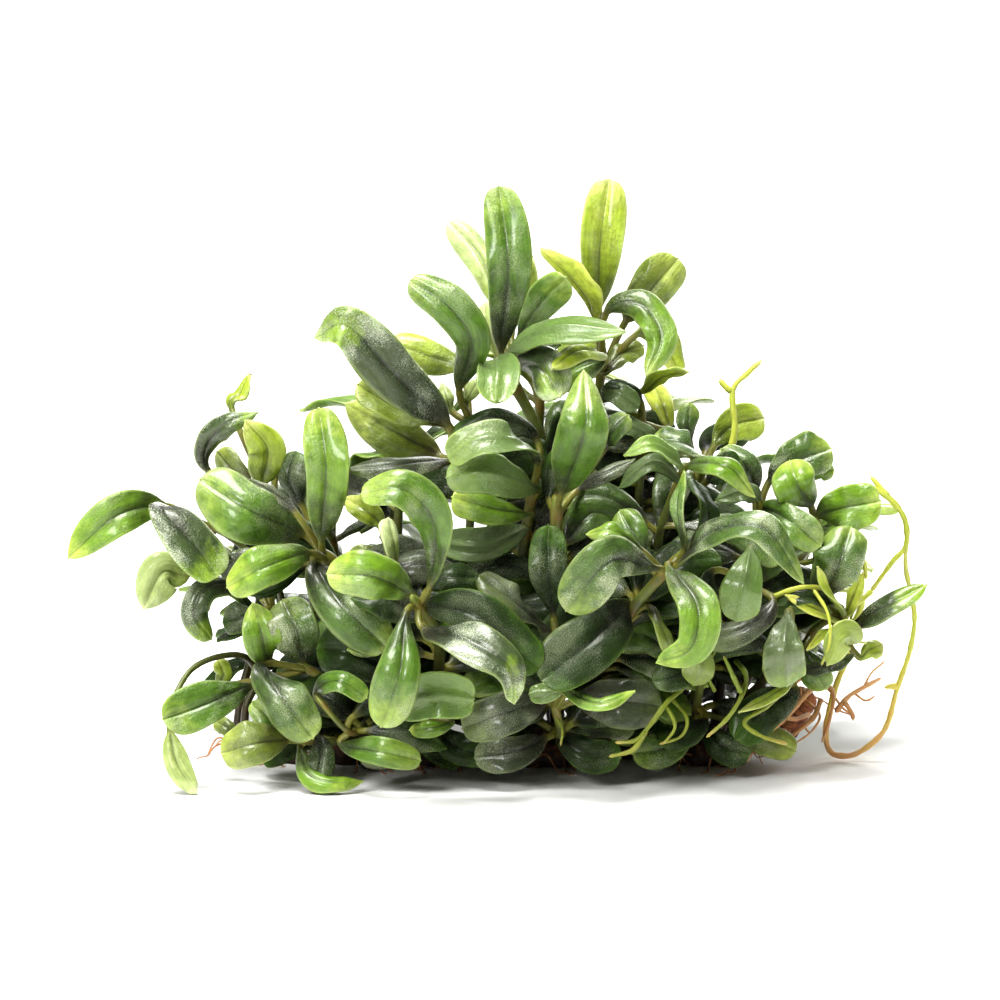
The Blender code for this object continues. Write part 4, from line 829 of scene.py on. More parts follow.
            ("oblong", "front", 4.8, "fresh", (-8.9, 17.1, -20), (-12.5, 18.9, -25), (-17.1, 19.2, -24)),
            (
                "oblong", "up", 4.3, "green",
                (-6.9, 18.1, -19), (-6.4, 24.0, -23), (-9.5, 27.5, -25), (-13.7, 27.1, -24),
            ),
            ("oblong", "front", 4.8, "deep", (-7.4, 16.1, -17), (-1.8, 14.7, -21), (3.8, 9.7, -21)),
            ("spoon", "up", 3.5, "deep", (-7.2, 17.5, -16), (-4.8, 18.8, -17), (-2.1, 18.8, -16)),
        ),
    ),
    "shoot_mid_left": (
        (-11.4, 2.3), 0.5, ((-10.0, 12.5, -6), (-10.2, 16.5, -8), (-10.5, 18.8, -9)),
        (
            ("spoon", "right", 3.0, "pale", (-10.4, 19.1, -9), (-10.7, 22.0, -12), (-11.2, 24.6, -11)),
            ("lance", "front", 2.5, "lime", (-11.8, 23.6, -5), (-13.4, 25.4, -5), (-15.5, 26.6, -3)),
            ("lance", "front", 2.2, "moss", (-12.0, 20.4, 0), (-13.6, 20.9, 0), (-15.4, 20.4, 1)),
            ("oblong", "front", 6.0, "deep", (-10.2, 9.7, -9), (-14.5, 11.3, -12), (-18.2, 11.7, -10)),
        ),
    ),
    "shoot_left_far_top": (
        (-21.9, 2.1), 0.5, ((-18.5, 17.0, 1), (-20.8, 23.5, 2), (-23.8, 27.5, 3)),
        (
            ("lance", "front", 3.9, "lime", (-23.8, 27.9, 1), (-23.2, 31.5, -1), (-25.4, 34.4, -1)),
            (
                "lance", "up", 2.6, "silver",
                (-29.0, 29.2, 2), (-29.3, 31.9, 1), (-27.2, 34.1, -1), (-24.3, 35.2, 0),
            ),
            ("lance", "left", 2.1, "lime", (-26.8, 35.3, 6), (-26.0, 37.0, 7), (-25.1, 39.1, 8)),
            ("oblong", "left", 2.9, "moss", (-25.0, 28.3, 2), (-26.8, 29.7, 2), (-28.3, 31.3, 3)),
        ),
    ),
    "shoot_left_far": (
        (-24.7, 4.3), 0.42, ((-22.0, 17.0, 3), (-26.0, 22.0, 2), (-31.0, 24.5, 1), (-33.2, 25.7, 1)),
        (
            ("lance", "front", 4.3, "fresh", (-33.5, 25.9, 0), (-38.2, 25.0, -3), (-43.1, 20.7, -3)),
            ("oblong", "up", 5.6, "silver", (-34.4, 26.0, -3), (-31.6, 23.4, -6), (-28.3, 18.7, -7)),
            ("lance", "front", 4.4, "pale", (-31.2, 19.1, 2), (-33.8, 19.3, 1), (-35.7, 15.6, 1)),
        ),
    ),
    "shoot_left_curl": (
        (-20.4, 1.6), 0.45, ((-18.5, 12.0, -3), (-21.5, 15.0, -3), (-24.0, 16.5, -2)),
        (
            (
                "oblong", "up", 3.0, "silver",
                (-24.2, 17.6, -3), (-28.9, 18.0, -5), (-30.5, 15.3, -6), (-28.9, 12.6, -5),
            ),
            ("spoon", "front", 3.2, "deep", (-23.8, 15.3, -4), (-25.7, 14.8, -5), (-27.6, 14.3, -4)),
            ("oblong", "front", 2.8, "dusk", (-23.8, 20.3, -4), (-26.0, 20.3, -5), (-27.6, 18.7, -5)),
        ),
    ),
    "shoot_left_low": (
        (-10.2, -0.9), 0.55, ((-13.0, 6.5, -7), (-17.0, 8.2, -8), (-20.2, 10.3, -8)),
        (
            ("oblong", "front", 4.9, "silver", (-19.7, 10.5, -8), (-20.2, 13.5, -11), (-21.6, 16.5, -9)),
            ("lance", "front", 3.9, "fresh", (-23.0, 10.5, -9), (-23.7, 13.1, -11), (-24.6, 16.2, -10)),
            ("oblong", "front", 4.9, "silver", (-23.6, 10.1, -10), (-21.6, 6.8, -15), (-18.6, 2.8, -15)),
            ("spoon", "front", 4.7, "green", (-24.5, 8.1, -9), (-29.0, 6.3, -12), (-33.5, 4.7, -14)),
        ),
    ),
    "shoot_left_trailing": (
        (-23.3, 2.8), 0.38, ((-25.0, 10.2, -4), (-28.2, 11.8, -6), (-31.6, 8.4, -9), (-33.5, 4.8, -12)),
        (("lance", "front", 2.6, "pale", (-32.8, 3.5, -14), (-32.1, 0.2, -16), (-30.1, -2.8, -17)),),
    ),
    "shoot_left_bottom": (
        (-13.2, -2.1), 0.5, ((-15.5, 2.4, -10), (-18.0, 2.6, -11.5), (-20.4, 2.6, -12.5)),
        (
            ("oblong", "front", 4.7, "moss", (-21.2, 2.6, -13), (-24.3, 2.3, -16), (-27.6, 1.3, -15)),
            ("oblong", "front", 2.8, "green", (-20.8, 3.0, -11), (-22.7, 4.6, -13), (-24.6, 6.4, -12)),
            (
                "lance", "up", 2.2, "fresh",
                (-19.9, 1.8, -12), (-19.0, -0.8, -15), (-16.8, -1.6, -16), (-13.7, -1.5, -15),
            ),
            ("oblong", "front", 2.8, "deep", (-18.2, 2.8, -12), (-17.8, 1.0, -14), (-18.2, -1.2, -15)),
        ),
    ),
    "shoot_left_front": (
        (-11.8, -1.5), 0.38, ((-14.0, 3.6, -13), (-17.0, 3.6, -14.5), (-18.2, 6.8, -14)),
        (
            ("oblong", "up", 2.7, "green", (-18.3, 7.3, -13), (-16.0, 8.5, -16), (-13.3, 6.8, -16)),
            ("oblong", "front", 3.0, "green", (-15.8, 2.2, -14), (-11.8, 1.4, -18), (-7.9, 0.6, -17)),
        ),
    ),
    "shoot_front_low": (
        (-8.5, -0.5), 0.5, ((-6.5, 4.5, -10), (-8.5, 5.4, -14), (-9.8, 6.2, -16)),
        (
            ("oblong", "front", 4.7, "green", (-10.4, 5.9, -17), (-6.5, 7.1, -21), (-2.6, 6.8, -20)),
        ),
    ),
    "shoot_front_mid": (
        (3.4, -0.7), 0.55, ((6.0, 3.2, -12), (5.8, 5.0, -14), (5.2, 6.8, -15)),
        (
            ("oblong", "front", 4.5, "dusk", (4.5, 6.5, -15), (0.5, 5.3, -19), (-3.7, 3.8, -18)),
            ("spoon", "front", 2.1, "green", (6.6, 7.7, -17), (4.8, 7.4, -18), (2.9, 7.2, -18)),
            ("oblong", "front", 5.2, "dusk", (7.6, 6.5, -14), (12.0, 6.5, -17), (16.0, 5.9, -16)),
            ("lance", "up", 1.9, "fresh", (6.2, 7.5, -18), (9.8, 6.3, -22), (13.3, 7.5, -21)),
        ),
    ),
    "shoot_centre_low": (
        (5.8, -0.4), 0.5, ((6.4, 9.5, -9), (5.6, 12.5, -12), (5.2, 14.7, -14)),
        (
            ("spoon", "front", 3.9, "deep", (5.3, 15.1, -14), (4.8, 19.3, -18), (4.8, 23.9, -16)),
            ("oblong", "up", 3.7, "dusk", (4.8, 13.5, -13), (1.5, 16.2, -17), (-2.0, 19.0, -16)),
        ),
    ),
    "shoot_bottom_right": (
        (20.4, 0.5), 0.5, ((19.6, 5.5, -6), (20.0, 8.0, -9), (20.6, 11.0, -11)),
        (
            ("spoon", "front", 3.2, "moss", (20.2, 12.0, -14), (19.8, 10.0, -17), (19.2, 8.1, -16)),
            ("oblong", "front", 2.9, "deep", (19.4, 10.0, -12), (17.5, 9.0, -14), (15.2, 8.5, -14)),
            ("oblong", "up", 3.2, "deep", (20.5, 4.5, -8), (18.5, 3.5, -10), (16.0, 2.3, -10)),
            ("oblong", "front", 3.4, "deep", (21.5, 6.0, -5), (24.5, 5.0, -6), (27.5, 3.0, -6)),
        ),
    ),
    "shoot_right_dark": (
        (17.6, 4.5), 0.5, ((20.0, 22.5, 0), (20.3, 26.5, 0), (20.0, 29.9, 0)),
        (
            ("oblong", "up", 3.7, "silver", (20.2, 29.9, -4), (18.4, 32.0, -6), (15.2, 32.5, -5)),
            ("spoon", "front", 2.3, "silver", (19.0, 32.0, 2), (18.8, 34.0, 2), (19.0, 36.2, 3)),
            ("oblong", "front", 3.0, "deep", (20.8, 28.5, -5), (22.2, 29.5, -6), (24.0, 30.5, -5)),
            ("spoon", "front", 4.0, "lime", (21.4, 31.8, 8), (23.5, 34.0, 9), (26.5, 34.7, 10)),
        ),
    ),
}

# Each shoot behind: its foot, its radius, the point where its leaves spread, the
# number of leaves, the middle of the side they spread to in degrees (0 is right and
# 90 is straight back), how far they spread, and their length, width and tone.
BACK_SHOOTS = {
    "shoot_back_left": ((-13.6, 12.0), 0.6, (-17, 16, 21), 5, 130, 250, 13.5, 4.6, "green"),
    "shoot_back_left_high": ((-11.2, 8.4), 0.6, (-10.0, 11, 30.5), 5, 92, 150, 11.0, 4.2, "fresh"),
    "shoot_back_far_left": ((-26.4, 7.9), 0.5, (-24, 12, 17), 5, 112, 150, 10.5, 4.4, "moss"),
    "shoot_back_low_left": ((-16.2, 15.2), 0.5, (-21, 20, 8), 5, 130, 220, 11.5, 4.4, "deep"),
    "shoot_back_centre": ((5.4, 11.2), 0.65, (-1, 15, 25), 6, 95, 270, 13.5, 4.8, "green"),
    "shoot_back_top": ((3.8, 7.4), 0.6, (4, 11, 37), 5, 80, 250, 12.0, 4.0, "lime"),
    "shoot_back_low": ((8.2, 15.2), 0.5, (3, 20, 11), 5, 100, 240, 12.5, 4.8, "deep"),
    "shoot_back_right": ((22.4, 14.8), 0.6, (20, 15, 22), 5, 70, 260, 13.0, 4.6, "green"),
    "shoot_back_right_high": ((19.2, 10.0), 0.6, (13.2, 11, 29.5), 5, 82, 220, 11.0, 4.2, "moss"),
    "shoot_back_low_right": ((23.6, 16.8), 0.5, (25, 19, 9), 5, 60, 230, 12.0, 4.4, "deep"),
    "shoot_back_side_right": ((23.5, 4.2), 0.5, (30, 9, 20), 5, 40, 200, 11.5, 4.0, "fresh"),
    "shoot_back_side_left": ((-25.7, 6.0), 0.45, (-23.2, 7.6, 13), 4, 125, 120, 9.5, 4.0, "green"),
}
FOOT_GAP = 0.4
FOOT_RISE = 2.2
FOOT_DEPTH = 1.3
FOOT_FLARE = 0.3
STEM_BENDS = 5
STEM_TAPER = 0.25
STEM_SIDES = 18
STEM_STEPS_PER_MM = 3.5
THICK_STEM = 0.7
SPAN_STEPS = 8
KNEE_SHARE = 0.6
KNEE_DROP = 0.1
STEM_FIT = 0.96
STEM_RING_PITCH = 2.3
STEM_RING_WIDTH = 0.13
STEM_RING_HEIGHT = 0.06
JOINT_REACH = 0.9
JOINT_SWELL = 0.10
TIP_STEPS = 6


def foot_of(x, y):
    """Where a stem starts, just above the rhizome under it."""
    start = placed(x, y, 0.0)
    for radius, path in rhizome_axes:
        for step in range(1, SPAN_STEPS * (len(path) - 1)):
            index, part = divmod(step, SPAN_STEPS)
            point = path[index].lerp(path[min(index + 1, len(path) - 1)], part / SPAN_STEPS)
            if (point.xy - start.xy).length < radius:
                start.z = max(start.z, point.z + radius + FOOT_GAP)
    return start


def stem_line(name, start, radius, others):
    """The bends of a stem, and the line on which its leaves sit."""
    bends = smooth_path([start, start + UP * FOOT_RISE, *others], STEM_BENDS)
    sides = 6 if radius > THICK_STEM else 4
    taken.append((name, *tube_room(bends, radius, sides, taper=STEM_TAPER)))
    axis = []
    for first, second in zip(bends, bends[1:]):
        axis += [first.lerp(second, step / SPAN_STEPS) for step in range(SPAN_STEPS)]
    return bends, [*axis, bends[-1]]


def stem_skin():
    """Firm olive skin that turns orange-brown at the joints and greener near the leaves."""
    skin, tree, shader = skin_tree("stem skin")
    along = mark(tree, "along")
    place = position(tree)
    patches = mottle(tree, place, 600.0)
    fibres = mottle(tree, place, 1800.0, 4.0, (1.0, 1.0, 0.15))
    run = colours(
        tree, swayed(tree, along, patches, 0.5),
        (0.1, (0.030, 0.020, 0.010)), (0.5, (0.042, 0.042, 0.010)),
        (0.75, (0.065, 0.080, 0.015)), (1.0, (0.15, 0.19, 0.028)),
    )
    warm = times(tree, mark(tree, "joint"), eased(tree, patches, 0.35, 0.65, 0.15, 0.75))
    warm = times(tree, warm, eased(tree, along, 0.3, 0.8))
    orange = mixed(tree, warm, run, (0.20, 0.105, 0.020, 1.0))
    scarred = mixed(tree, times(tree, mark(tree, "ring"), 0.3), orange, (0.10, 0.045, 0.018, 1.0))
    bright = eased(tree, fibres, 0.5, 0.8, 0.0, 0.30)
    bright = times(tree, bright, eased(tree, along, 0.3, 0.9, 0.15, 1.0))
    lit = mixed(tree, bright, scarred, (0.24, 0.27, 0.06, 1.0))
    tree.links.new(lit, shader.inputs["Base Color"])
    tree.links.new(eased(tree, patches, 0.3, 0.7, 0.28, 0.5), shader.inputs["Roughness"])
    soft(shader, 0.15, (1.0, 0.8, 0.3), 0.0005)
    dented(tree, shader, (fibres, 0.5, 0.08), (patches, 0.4, 0.12))
    return skin


FAN_OUTLINES = ("oblong", "lance", "oblong", "spoon", "lance", "oblong")
GOLDEN_SHARE = 0.618
FIRST_SHARE = 0.3
FIRST_RISE = 48
LESS_RISE = 11
RISE_CHANGE = 6
REACH_LEAST = 0.82
REACH_CHANGE = 0.18
STALK_OUT = 1.2
STALK_DROP = 0.7
HANG = math.radians(45)
FAN_FACING_UP = 0.9
FAN_FACING_OUT = 0.45


def leaves_behind(crown, count, middle, spread, length, width, tone):
    """The leaves of a shoot behind: they spread from its crown like a fan."""
    leaves = []
    for number in range(count):
        turn = math.radians(middle + spread * ((number * GOLDEN_SHARE + FIRST_SHARE) % 1 - 0.5))
        rise = math.radians(FIRST_RISE - LESS_RISE * number + RISE_CHANGE * math.sin(5 * number + length))
        reach = length * (REACH_LEAST + REACH_CHANGE * math.cos(3.3 * number + crown.x))
        out = Vector((math.cos(turn), math.sin(turn), 0))
        base = crown + out * STALK_OUT + UP * (STALK_OUT - STALK_DROP * number)
        half_way = base + (out * math.cos(rise) + UP * math.sin(rise)) * reach * 0.5
        droop = rise - HANG
        tip = half_way + (out * math.cos(droop) + UP * math.sin(droop)) * reach * 0.5
        facing = UP * FAN_FACING_UP + out * FAN_FACING_OUT
        outline = FAN_OUTLINES[number % len(FAN_OUTLINES)]
        leaves.append((outline, facing, width, tone, (base, half_way, tip)))
    return leaves


stems = {}
leaf_orders = []
for name, (foot, radius, stem_points, leaves) in FRONT_SHOOTS.items():
    bends, line = stem_line(name, foot_of(*foot), radius, [seen(point) for point in stem_points])
    stems[name] = (radius, bends, line)
    for outline, facing, width, tone, *points in leaves:
        points = [seen(point) for point in points]
        leaf_orders.append((name, outline, FACINGS[facing], width, tone, points))
for name, row in BACK_SHOOTS.items():
    foot, radius, crown, count, middle, spread, length, width, tone = row
    crown = placed(*crown)
    start = foot_of(*foot)
    knee = start.lerp(crown, KNEE_SHARE) - UP * (KNEE_DROP * crown.z)
    bends, line = stem_line(name, start, radius, [knee, crown])
    stems[name] = (radius, bends, line)
    for leaf in leaves_behind(crown, count, middle, spread, length, width, tone):
        leaf_orders.append((name, *leaf))

# The leaves are thick, firm and glossy, with a sunken midrib between two swollen halves
# and a thin pale margin, and patches of painted sheen. Dark ones are dusted with pale
# speckles, partly painted glints, and young ones are lime.
# Each grows on a short round stalk out of a joint of its stem.
LEAF_THICKNESS = 0.62
LEAF_RINGS = (0.0, 0.24, 0.6, 0.9)
SMALL_LEAF_RINGS = (0.0, 0.35, 0.8)
SMALL_LEAF_WIDTH = 4.65
EDGE_DROOP = 0.12
PETIOLE_RADIUS = 0.36
NODE_SPACING = 0.25
CLEARANCE = 0.34
GROUND_LIFT = 0.34
STEM_END = 2
PATH_POINTS = 25
BASE_CORNERS = 5
FACING_PULL = 0.6
LEAN_POWER = 1.6
SLIDE_ONSET = 2.5
SLIDE_COST = 1.3
OTHER_COST = 10
LEANS = (0, 1, -1, 2, -2, 3, -3, 4.5, -4.5, 6, -6, 8, -8)
SLIDES = (0, 1, -1, 2, -2, 3.2, -3.2, 4.5, -4.5, 6, -6)
WAYS = sorted(
    ((lean, slide) for lean in LEANS for slide in SLIDES),
    key=lambda way: abs(way[0]) + SLIDE_COST * abs(way[1]),
)

# How far along the blade its widest place is, and how blunt its tip is, come
# from these two powers: half width = along ** first * (1 - along) ** second.
OUTLINES = {
    "oblong": (0.58, 0.32),
    "lance": (0.66, 0.66),
    "spoon": (0.9, 0.38),
}

# Small leaves that fill in between the others: the shoot that each grows on, and then
# the same as for the leaves above.
SMALL_LEAVES = (
    ("upper_right", "lance", "up", 1.9, "deep", (14.0, 36.3, 1), (12.5, 37.7, 0), (10.6, 38.1, 0)),
    ("right_speckled", "lance", "up", 1.9, "dusk", (29.6, 9.7, -9), (32.5, 9.9, -11), (35.3, 11.0, -10)),
    ("left", "lance", "under", 2.2, "deep", (-19.4, 19.9, -7), (-22.5, 17.5, -9), (-26.4, 17.1, -9)),
    ("centre", "lance", "up", 2.0, "dusk", (7.7, 27.5, -9), (10.2, 29.0, -10), (13.4, 30.5, -9)),
    ("top_centre", "lance", "up", 1.8, "deep", (1.1, 40.8, -1), (3.5, 41.3, -3), (6.0, 42.0, -3)),
    ("top_right", "lance", "up", 1.8, "lime", (10.3, 41.5, 7), (9.2, 42.2, 9), (7.5, 42.4, 10)),
    ("twist", "lance", "front", 1.6, "pale", (-4.8, 35.3, -2), (-5.3, 36.7, -2), (-5.8, 38.1, -1)),
    ("twist", "spoon", "front", 1.6, "pale", (-3.5, 36.0, -3), (-2.8, 37.3, -4), (-2.1, 38.4, -4)),
    ("centre", "lance", "right", 2.0, "deep", (5.1, 30.3, -4), (5.3, 32.7, -3), (5.8, 35.2, -2)),
    ("right_front", "lance", "right", 1.9, "moss", (14.8, 15.9, -14), (16.2, 13.3, -17), (17.4, 10.3, -16)),
    ("right_side", "lance", "up", 1.9, "fresh", (32.0, 23.5, -3), (34.0, 24.0, -4), (35.9, 23.6, -3)),
    ("right_speckled", "lance", "up", 1.3, "lime", (29.0, 8.5, -10), (26.5, 6.7, -13), (23.8, 5.4, -14)),
    ("left", "lance", "up", 1.5, "dusk", (-20.4, 25.3, -4), (-22.8, 27.3, -4), (-25.3, 28.5, -4)),
    ("left_far_top", "lance", "front", 1.5, "lime", (-22.5, 29.0, 4), (-22.1, 30.1, 4), (-21.6, 31.3, 5)),
    ("left_low", "oblong", "front", 1.8, "lime", (-27.2, 8.0, -5), (-27.6, 9.2, -5), (-28.1, 10.5, -5)),
    ("left_bottom", "oblong", "front", 1.8, "moss", (-26.0, 2.7, -9), (-27.1, 3.7, -9), (-28.4, 4.4, -8)),
    ("front_low", "oblong", "front", 1.8, "fresh", (-4.8, 4.3, -13), (-6.8, 3.8, -15), (-8.9, 3.6, -14)),
    ("front_mid", "oblong", "front", 3.6, "deep", (5.8, 3.0, -11), (8.5, 1.4, -13), (12.0, 0.8, -13)),
    ("front_mid", "oblong", "front", 3.6, "dusk", (4.6, 2.8, -11), (1.5, 1.4, -13), (-2.5, 0.8, -13)),
    ("centre_low", "spoon", "up", 3.8, "dusk", (6.4, 6.0, -8), (9.5, 4.5, -10), (13.5, 4.0, -10)),
    ("centre_low", "oblong", "up", 3.4, "dusk", (4.6, 5.8, -8), (1.0, 4.4, -10), (-3.5, 4.0, -10)),
    ("front_low", "oblong", "front", 3.4, "deep", (-6.6, 3.8, -9), (-4.2, 1.8, -12), (-1.0, 1.0, -12)),
    ("front_low", "oblong", "front", 3.0, "dusk", (-8.5, 3.2, -10), (-11.0, 1.6, -12), (-14.0, 0.8, -12)),
    ("bottom_right", "oblong", "front", 3.6, "green", (19.2, 4.0, -6), (16.5, 1.8, -8), (13.2, 1.2, -9)),
    ("bottom_right", "spoon", "front", 3.6, "deep", (20.4, 4.2, -6), (22.2, 2.0, -8), (25.0, 1.2, -8)),
    ("top_right", "oblong", "up", 3.8, "fresh", (10.2, 40.4, -1), (7.8, 39.9, -4), (5.4, 38.0, -6)),
    ("right_low", "lance", "up", 1.8, "straw", (33.6, 14.4, -8), (31.2, 15.6, -11), (28.5, 17.0, -12)),
    ("right_low", "lance", "up", 1.5, "straw", (34.4, 14.6, -8), (35.2, 16.8, -8), (36.2, 19.2, -7)),
    ("right_low", "lance", "up", 1.2, "straw", (33.6, 13.6, -9), (32.2, 13.2, -12), (30.6, 11.6, -13)),
    ("right_low", "lance", "up", 1.4, "lime", (34.2, 15.2, -9), (32.6, 17.4, -11), (31.6, 19.8, -11)),
    ("bottom_right", "oblong", "front", 3.4, "moss", (22.5, 4.6, -5), (25.6, 3.2, -7), (29.5, 1.4, -7)),
    ("right_low", "oblong", "front", 3.0, "green", (30.6, 11.5, -4), (31.4, 9.6, -5), (32.6, 7.6, -5)),
    ("right_dark", "oblong", "front", 3.2, "deep", (20.6, 31.2, 8), (21.8, 32.8, 11), (25.2, 33.6, 13)),
)

# Single leaves that differ from the tone of their row: those with the whitest painted sheen,
# where their wet surface would catch the light, one painted lighter for the sheen it shows,
# and a few painted bright yellow-green where the light comes through them.
OTHER_TONES = {
    "frosted": (
        ("left_far", 1), ("left_far_top", 1), ("left_curl", 0), ("front", 0), ("right_low", 1),
        ("left_top", 0), ("right_speckled", 0), ("top_centre", 4),
    ),
    "fresh": (("right_side", 1),),
    "straw": (("upper_right", 1), ("top_right", 1)),
    "lime": (("top_right", 5),),
}

# The colours of each tone: at the base of the blade, over most of it, at its tip and at
# its margin.
LEAF_COLOURS = {
    "lime": ((0.12, 0.165, 0.012), (0.275, 0.35, 0.028), (0.47, 0.50, 0.14), (0.60, 0.62, 0.30)),
    "fresh": ((0.034, 0.058, 0.006), (0.125, 0.230, 0.012), (0.32, 0.41, 0.06), (0.46, 0.54, 0.18)),
    "pale": ((0.18, 0.23, 0.05), (0.33, 0.40, 0.14), (0.50, 0.56, 0.28), (0.60, 0.66, 0.38)),
    # Pale straw bracts, and also painted glow on leaves that the light comes through.
    "straw": ((0.32, 0.37, 0.04), (0.60, 0.68, 0.10), (0.66, 0.66, 0.14), (0.72, 0.70, 0.30)),
    "green": ((0.016, 0.025, 0.005), (0.070, 0.145, 0.010), (0.22, 0.31, 0.05), (0.36, 0.43, 0.14)),
    "moss": ((0.046, 0.042, 0.010), (0.125, 0.165, 0.018), (0.29, 0.34, 0.06), (0.42, 0.47, 0.17)),
    "deep": ((0.005, 0.008, 0.002), (0.012, 0.029, 0.003), (0.036, 0.080, 0.006), (0.09, 0.14, 0.025)),
    "silver": ((0.018, 0.022, 0.010), (0.054, 0.104, 0.014), (0.22, 0.30, 0.05), (0.40, 0.47, 0.19)),
    # The whitest painted sheen: a dark leaf under strong patches of painted sheen.
    "frosted": ((0.020, 0.020, 0.014), (0.040, 0.064, 0.018), (0.24, 0.36, 0.03), (0.42, 0.50, 0.17)),
    "dusk": ((0.020, 0.016, 0.013), (0.042, 0.052, 0.026), (0.10, 0.13, 0.04), (0.18, 0.22, 0.08)),
}

# The finish of each tone: how much pale speckle and painted glint, how much painted sheen, how rough and how
# glossy it is.
LEAF_FINISHES = {
    "lime": (0.15, 0.25, 0.30, 0.4),
    "fresh": (0.20, 0.40, 0.27, 0.45),
    "pale": (0.10, 0.45, 0.38, 0.3),
    "straw": (0.30, 0.10, 0.45, 0.3),
    "green": (0.25, 0.55, 0.24, 0.45),
    "moss": (0.25, 0.40, 0.27, 0.4),
    "deep": (0.22, 0.30, 0.30, 0.2),
    "silver": (0.45, 1.00, 0.22, 0.4),
    "frosted": (0.80, 1.60, 0.20, 0.5),
    "dusk": (0.40, 0.60, 0.27, 0.35),
}


def half_width(outline, along):
    """The share of the full half width at a place along the blade."""
    rise, fall = OUTLINES[outline]
    widest = rise / (rise + fall)
    return (along / widest) ** rise * ((1 - along) / (1 - widest)) ** fall


def leaf_frames(facing, path):
    """At each point of a leaf's middle line: the point, the way across, and the way its face looks."""
    last = len(path) - 1
    normal = facing.normalized()
    frames = []
    for index, point in enumerate(path):
        ahead = path[min(index + 1, last)] - path[max(index - 1, 0)]
        ahead.normalize()
        across_path = facing - facing.dot(ahead) * ahead
        carried = (normal - normal.dot(ahead) * ahead).normalized()
        if index == 0:
            carried = across_path.normalized()
        wish = across_path if across_path.dot(carried) >= 0 else -across_path
        normal = (carried + wish * FACING_PULL).normalized()
        frames.append((point, ahead.cross(normal), normal))
    return frames


def leaf_room(leaf, path, extra):
    """Corners and faces of the room that a leaf fills, in millimetres."""
    ball = bmesh.new()
    shares = LEAF_RINGS if leaf.width > SMALL_LEAF_WIDTH else SMALL_LEAF_RINGS
    bmesh.ops.create_uvsphere(ball, u_segments=4, v_segments=len(shares) + 1, radius=1.0)
    last = len(path) - 1
    frames = leaf_frames(leaf.facing, path)
    rings = {}
    for vertex in ball.verts:
        rings.setdefault(round(vertex.co.z, 4), []).append(vertex)
    thick = LEAF_THICKNESS / 2 + extra
    for order, height in enumerate(sorted(rings)):
        if 0 < order < len(rings) - 1:
            share = shares[order - 1]
            along = leaf.blade_start + (1 - leaf.blade_start) * share
            half = max(half_width(leaf.outline, share) * leaf.width / 2, PETIOLE_RADIUS)
        else:
            along = min(order, 1)
            half = 0.0
        point, side, normal = frames[round(along * last)]
        for vertex in rings[height]:
            if half == 0.0:
                vertex.co = point
                continue
            ring_radius = math.hypot(vertex.co.x, vertex.co.y)
            x = vertex.co.x / ring_radius
            y = vertex.co.y / ring_radius
            drop = EDGE_DROOP * half * abs(x)
            vertex.co = point + side * x * (half + extra) + normal * (y * thick - drop)
            vertex.co.z = max(vertex.co.z, 0.0)
    bmesh.ops.triangulate(ball, faces=ball.faces)
    ball.verts.index_update()
    corners = [vertex.co.copy() for vertex in ball.verts]
    faces = [[vertex.index for vertex in face.verts] for face in ball.faces]
    ball.free()
    return corners, faces


class Leaf:
    """One leaf: where it sits on its stem, where it reaches, and how it is finished."""

    def __init__(self, shoot, outline, facing, width, tone, points, order):
        self.shoot = shoot
        self.outline = outline
        self.facing = facing
        self.width = width
        self.tone = tone
        self.order = order
        line = stems[shoot][2]
        reach = range(len(line) // 3, len(line) - STEM_END)
        nearest = min(reach, key=lambda i: (line[i] - points[0]).length)
        step = (line[nearest] - line[nearest - 1]) * (NODE_SPACING * (order % 3))
        self.points = [line[nearest] - step, *points]
        self.length = length_of(self.points)
        self.blade_start = (self.points[1] - self.points[0]).length / self.length
        self.way = (0, 0)

    def path(self, lean, slide):
        """The leaf's middle line, its tip moved by lean and its whole blade by slide."""
        sway = Vector((0.0, math.cos(VIEW_TILT), -math.sin(VIEW_TILT)))
        path = smooth_path(self.points, PATH_POINTS)
        for index, point in enumerate(path):
            along = index / (len(path) - 1)
            point += sway * (lean * along**LEAN_POWER + slide * min(along * SLIDE_ONSET, 1.0))
            point.z = max(point.z, GROUND_LIFT)
        return path


def blade_faces(corners, faces):
    """The faces past the base of the blade, where leaves of one stem part."""
    ordered = sorted(range(len(corners)), key=lambda i: (corners[i] - corners[0]).length)
    near_stem = set(ordered[:BASE_CORNERS])
    return [face for face in faces if not near_stem & set(face)]


def touching(leaf, lean, slide, clearance):
    """How badly the leaf would touch what is placed with this sway, or 0 where it is clear."""
    corners, faces = leaf_room(leaf, leaf.path(lean, slide), clearance)
    low, high = box_of(corners)
    whole = None
    blade = None
    hits = 0
    for owner, (other_low, other_high), other_whole, other_blade in taken:
        if not all(low[i] <= other_high[i] and other_low[i] <= high[i] for i in range(3)):
            continue
        if owner == leaf.shoot:
            if other_blade is None:
                continue
            blade = blade or tree_of(corners, blade_faces(corners, faces))
            hits += bool(blade.overlap(other_blade))
        else:
            whole = whole or tree_of(corners, faces)
            hits += bool(whole.overlap(other_whole)) * OTHER_COST
    return hits


def settle(leaf, ways=WAYS, clearance=CLEARANCE):
    """Gives the leaf the least sway that keeps it clear of what is placed."""
    best = None
    for lean, slide in ways:
        hits = touching(leaf, lean, slide, clearance)
        if best is None or hits < best:
            best = hits
            leaf.way = (lean, slide)
        if hits == 0:
            break
    corners, faces = leaf_room(leaf, leaf.path(*leaf.way), 0.0)
    trees = tree_of(corners, faces), tree_of(corners, blade_faces(corners, faces))
    taken.append((leaf.shoot, box_of(corners), *trees))
    return best


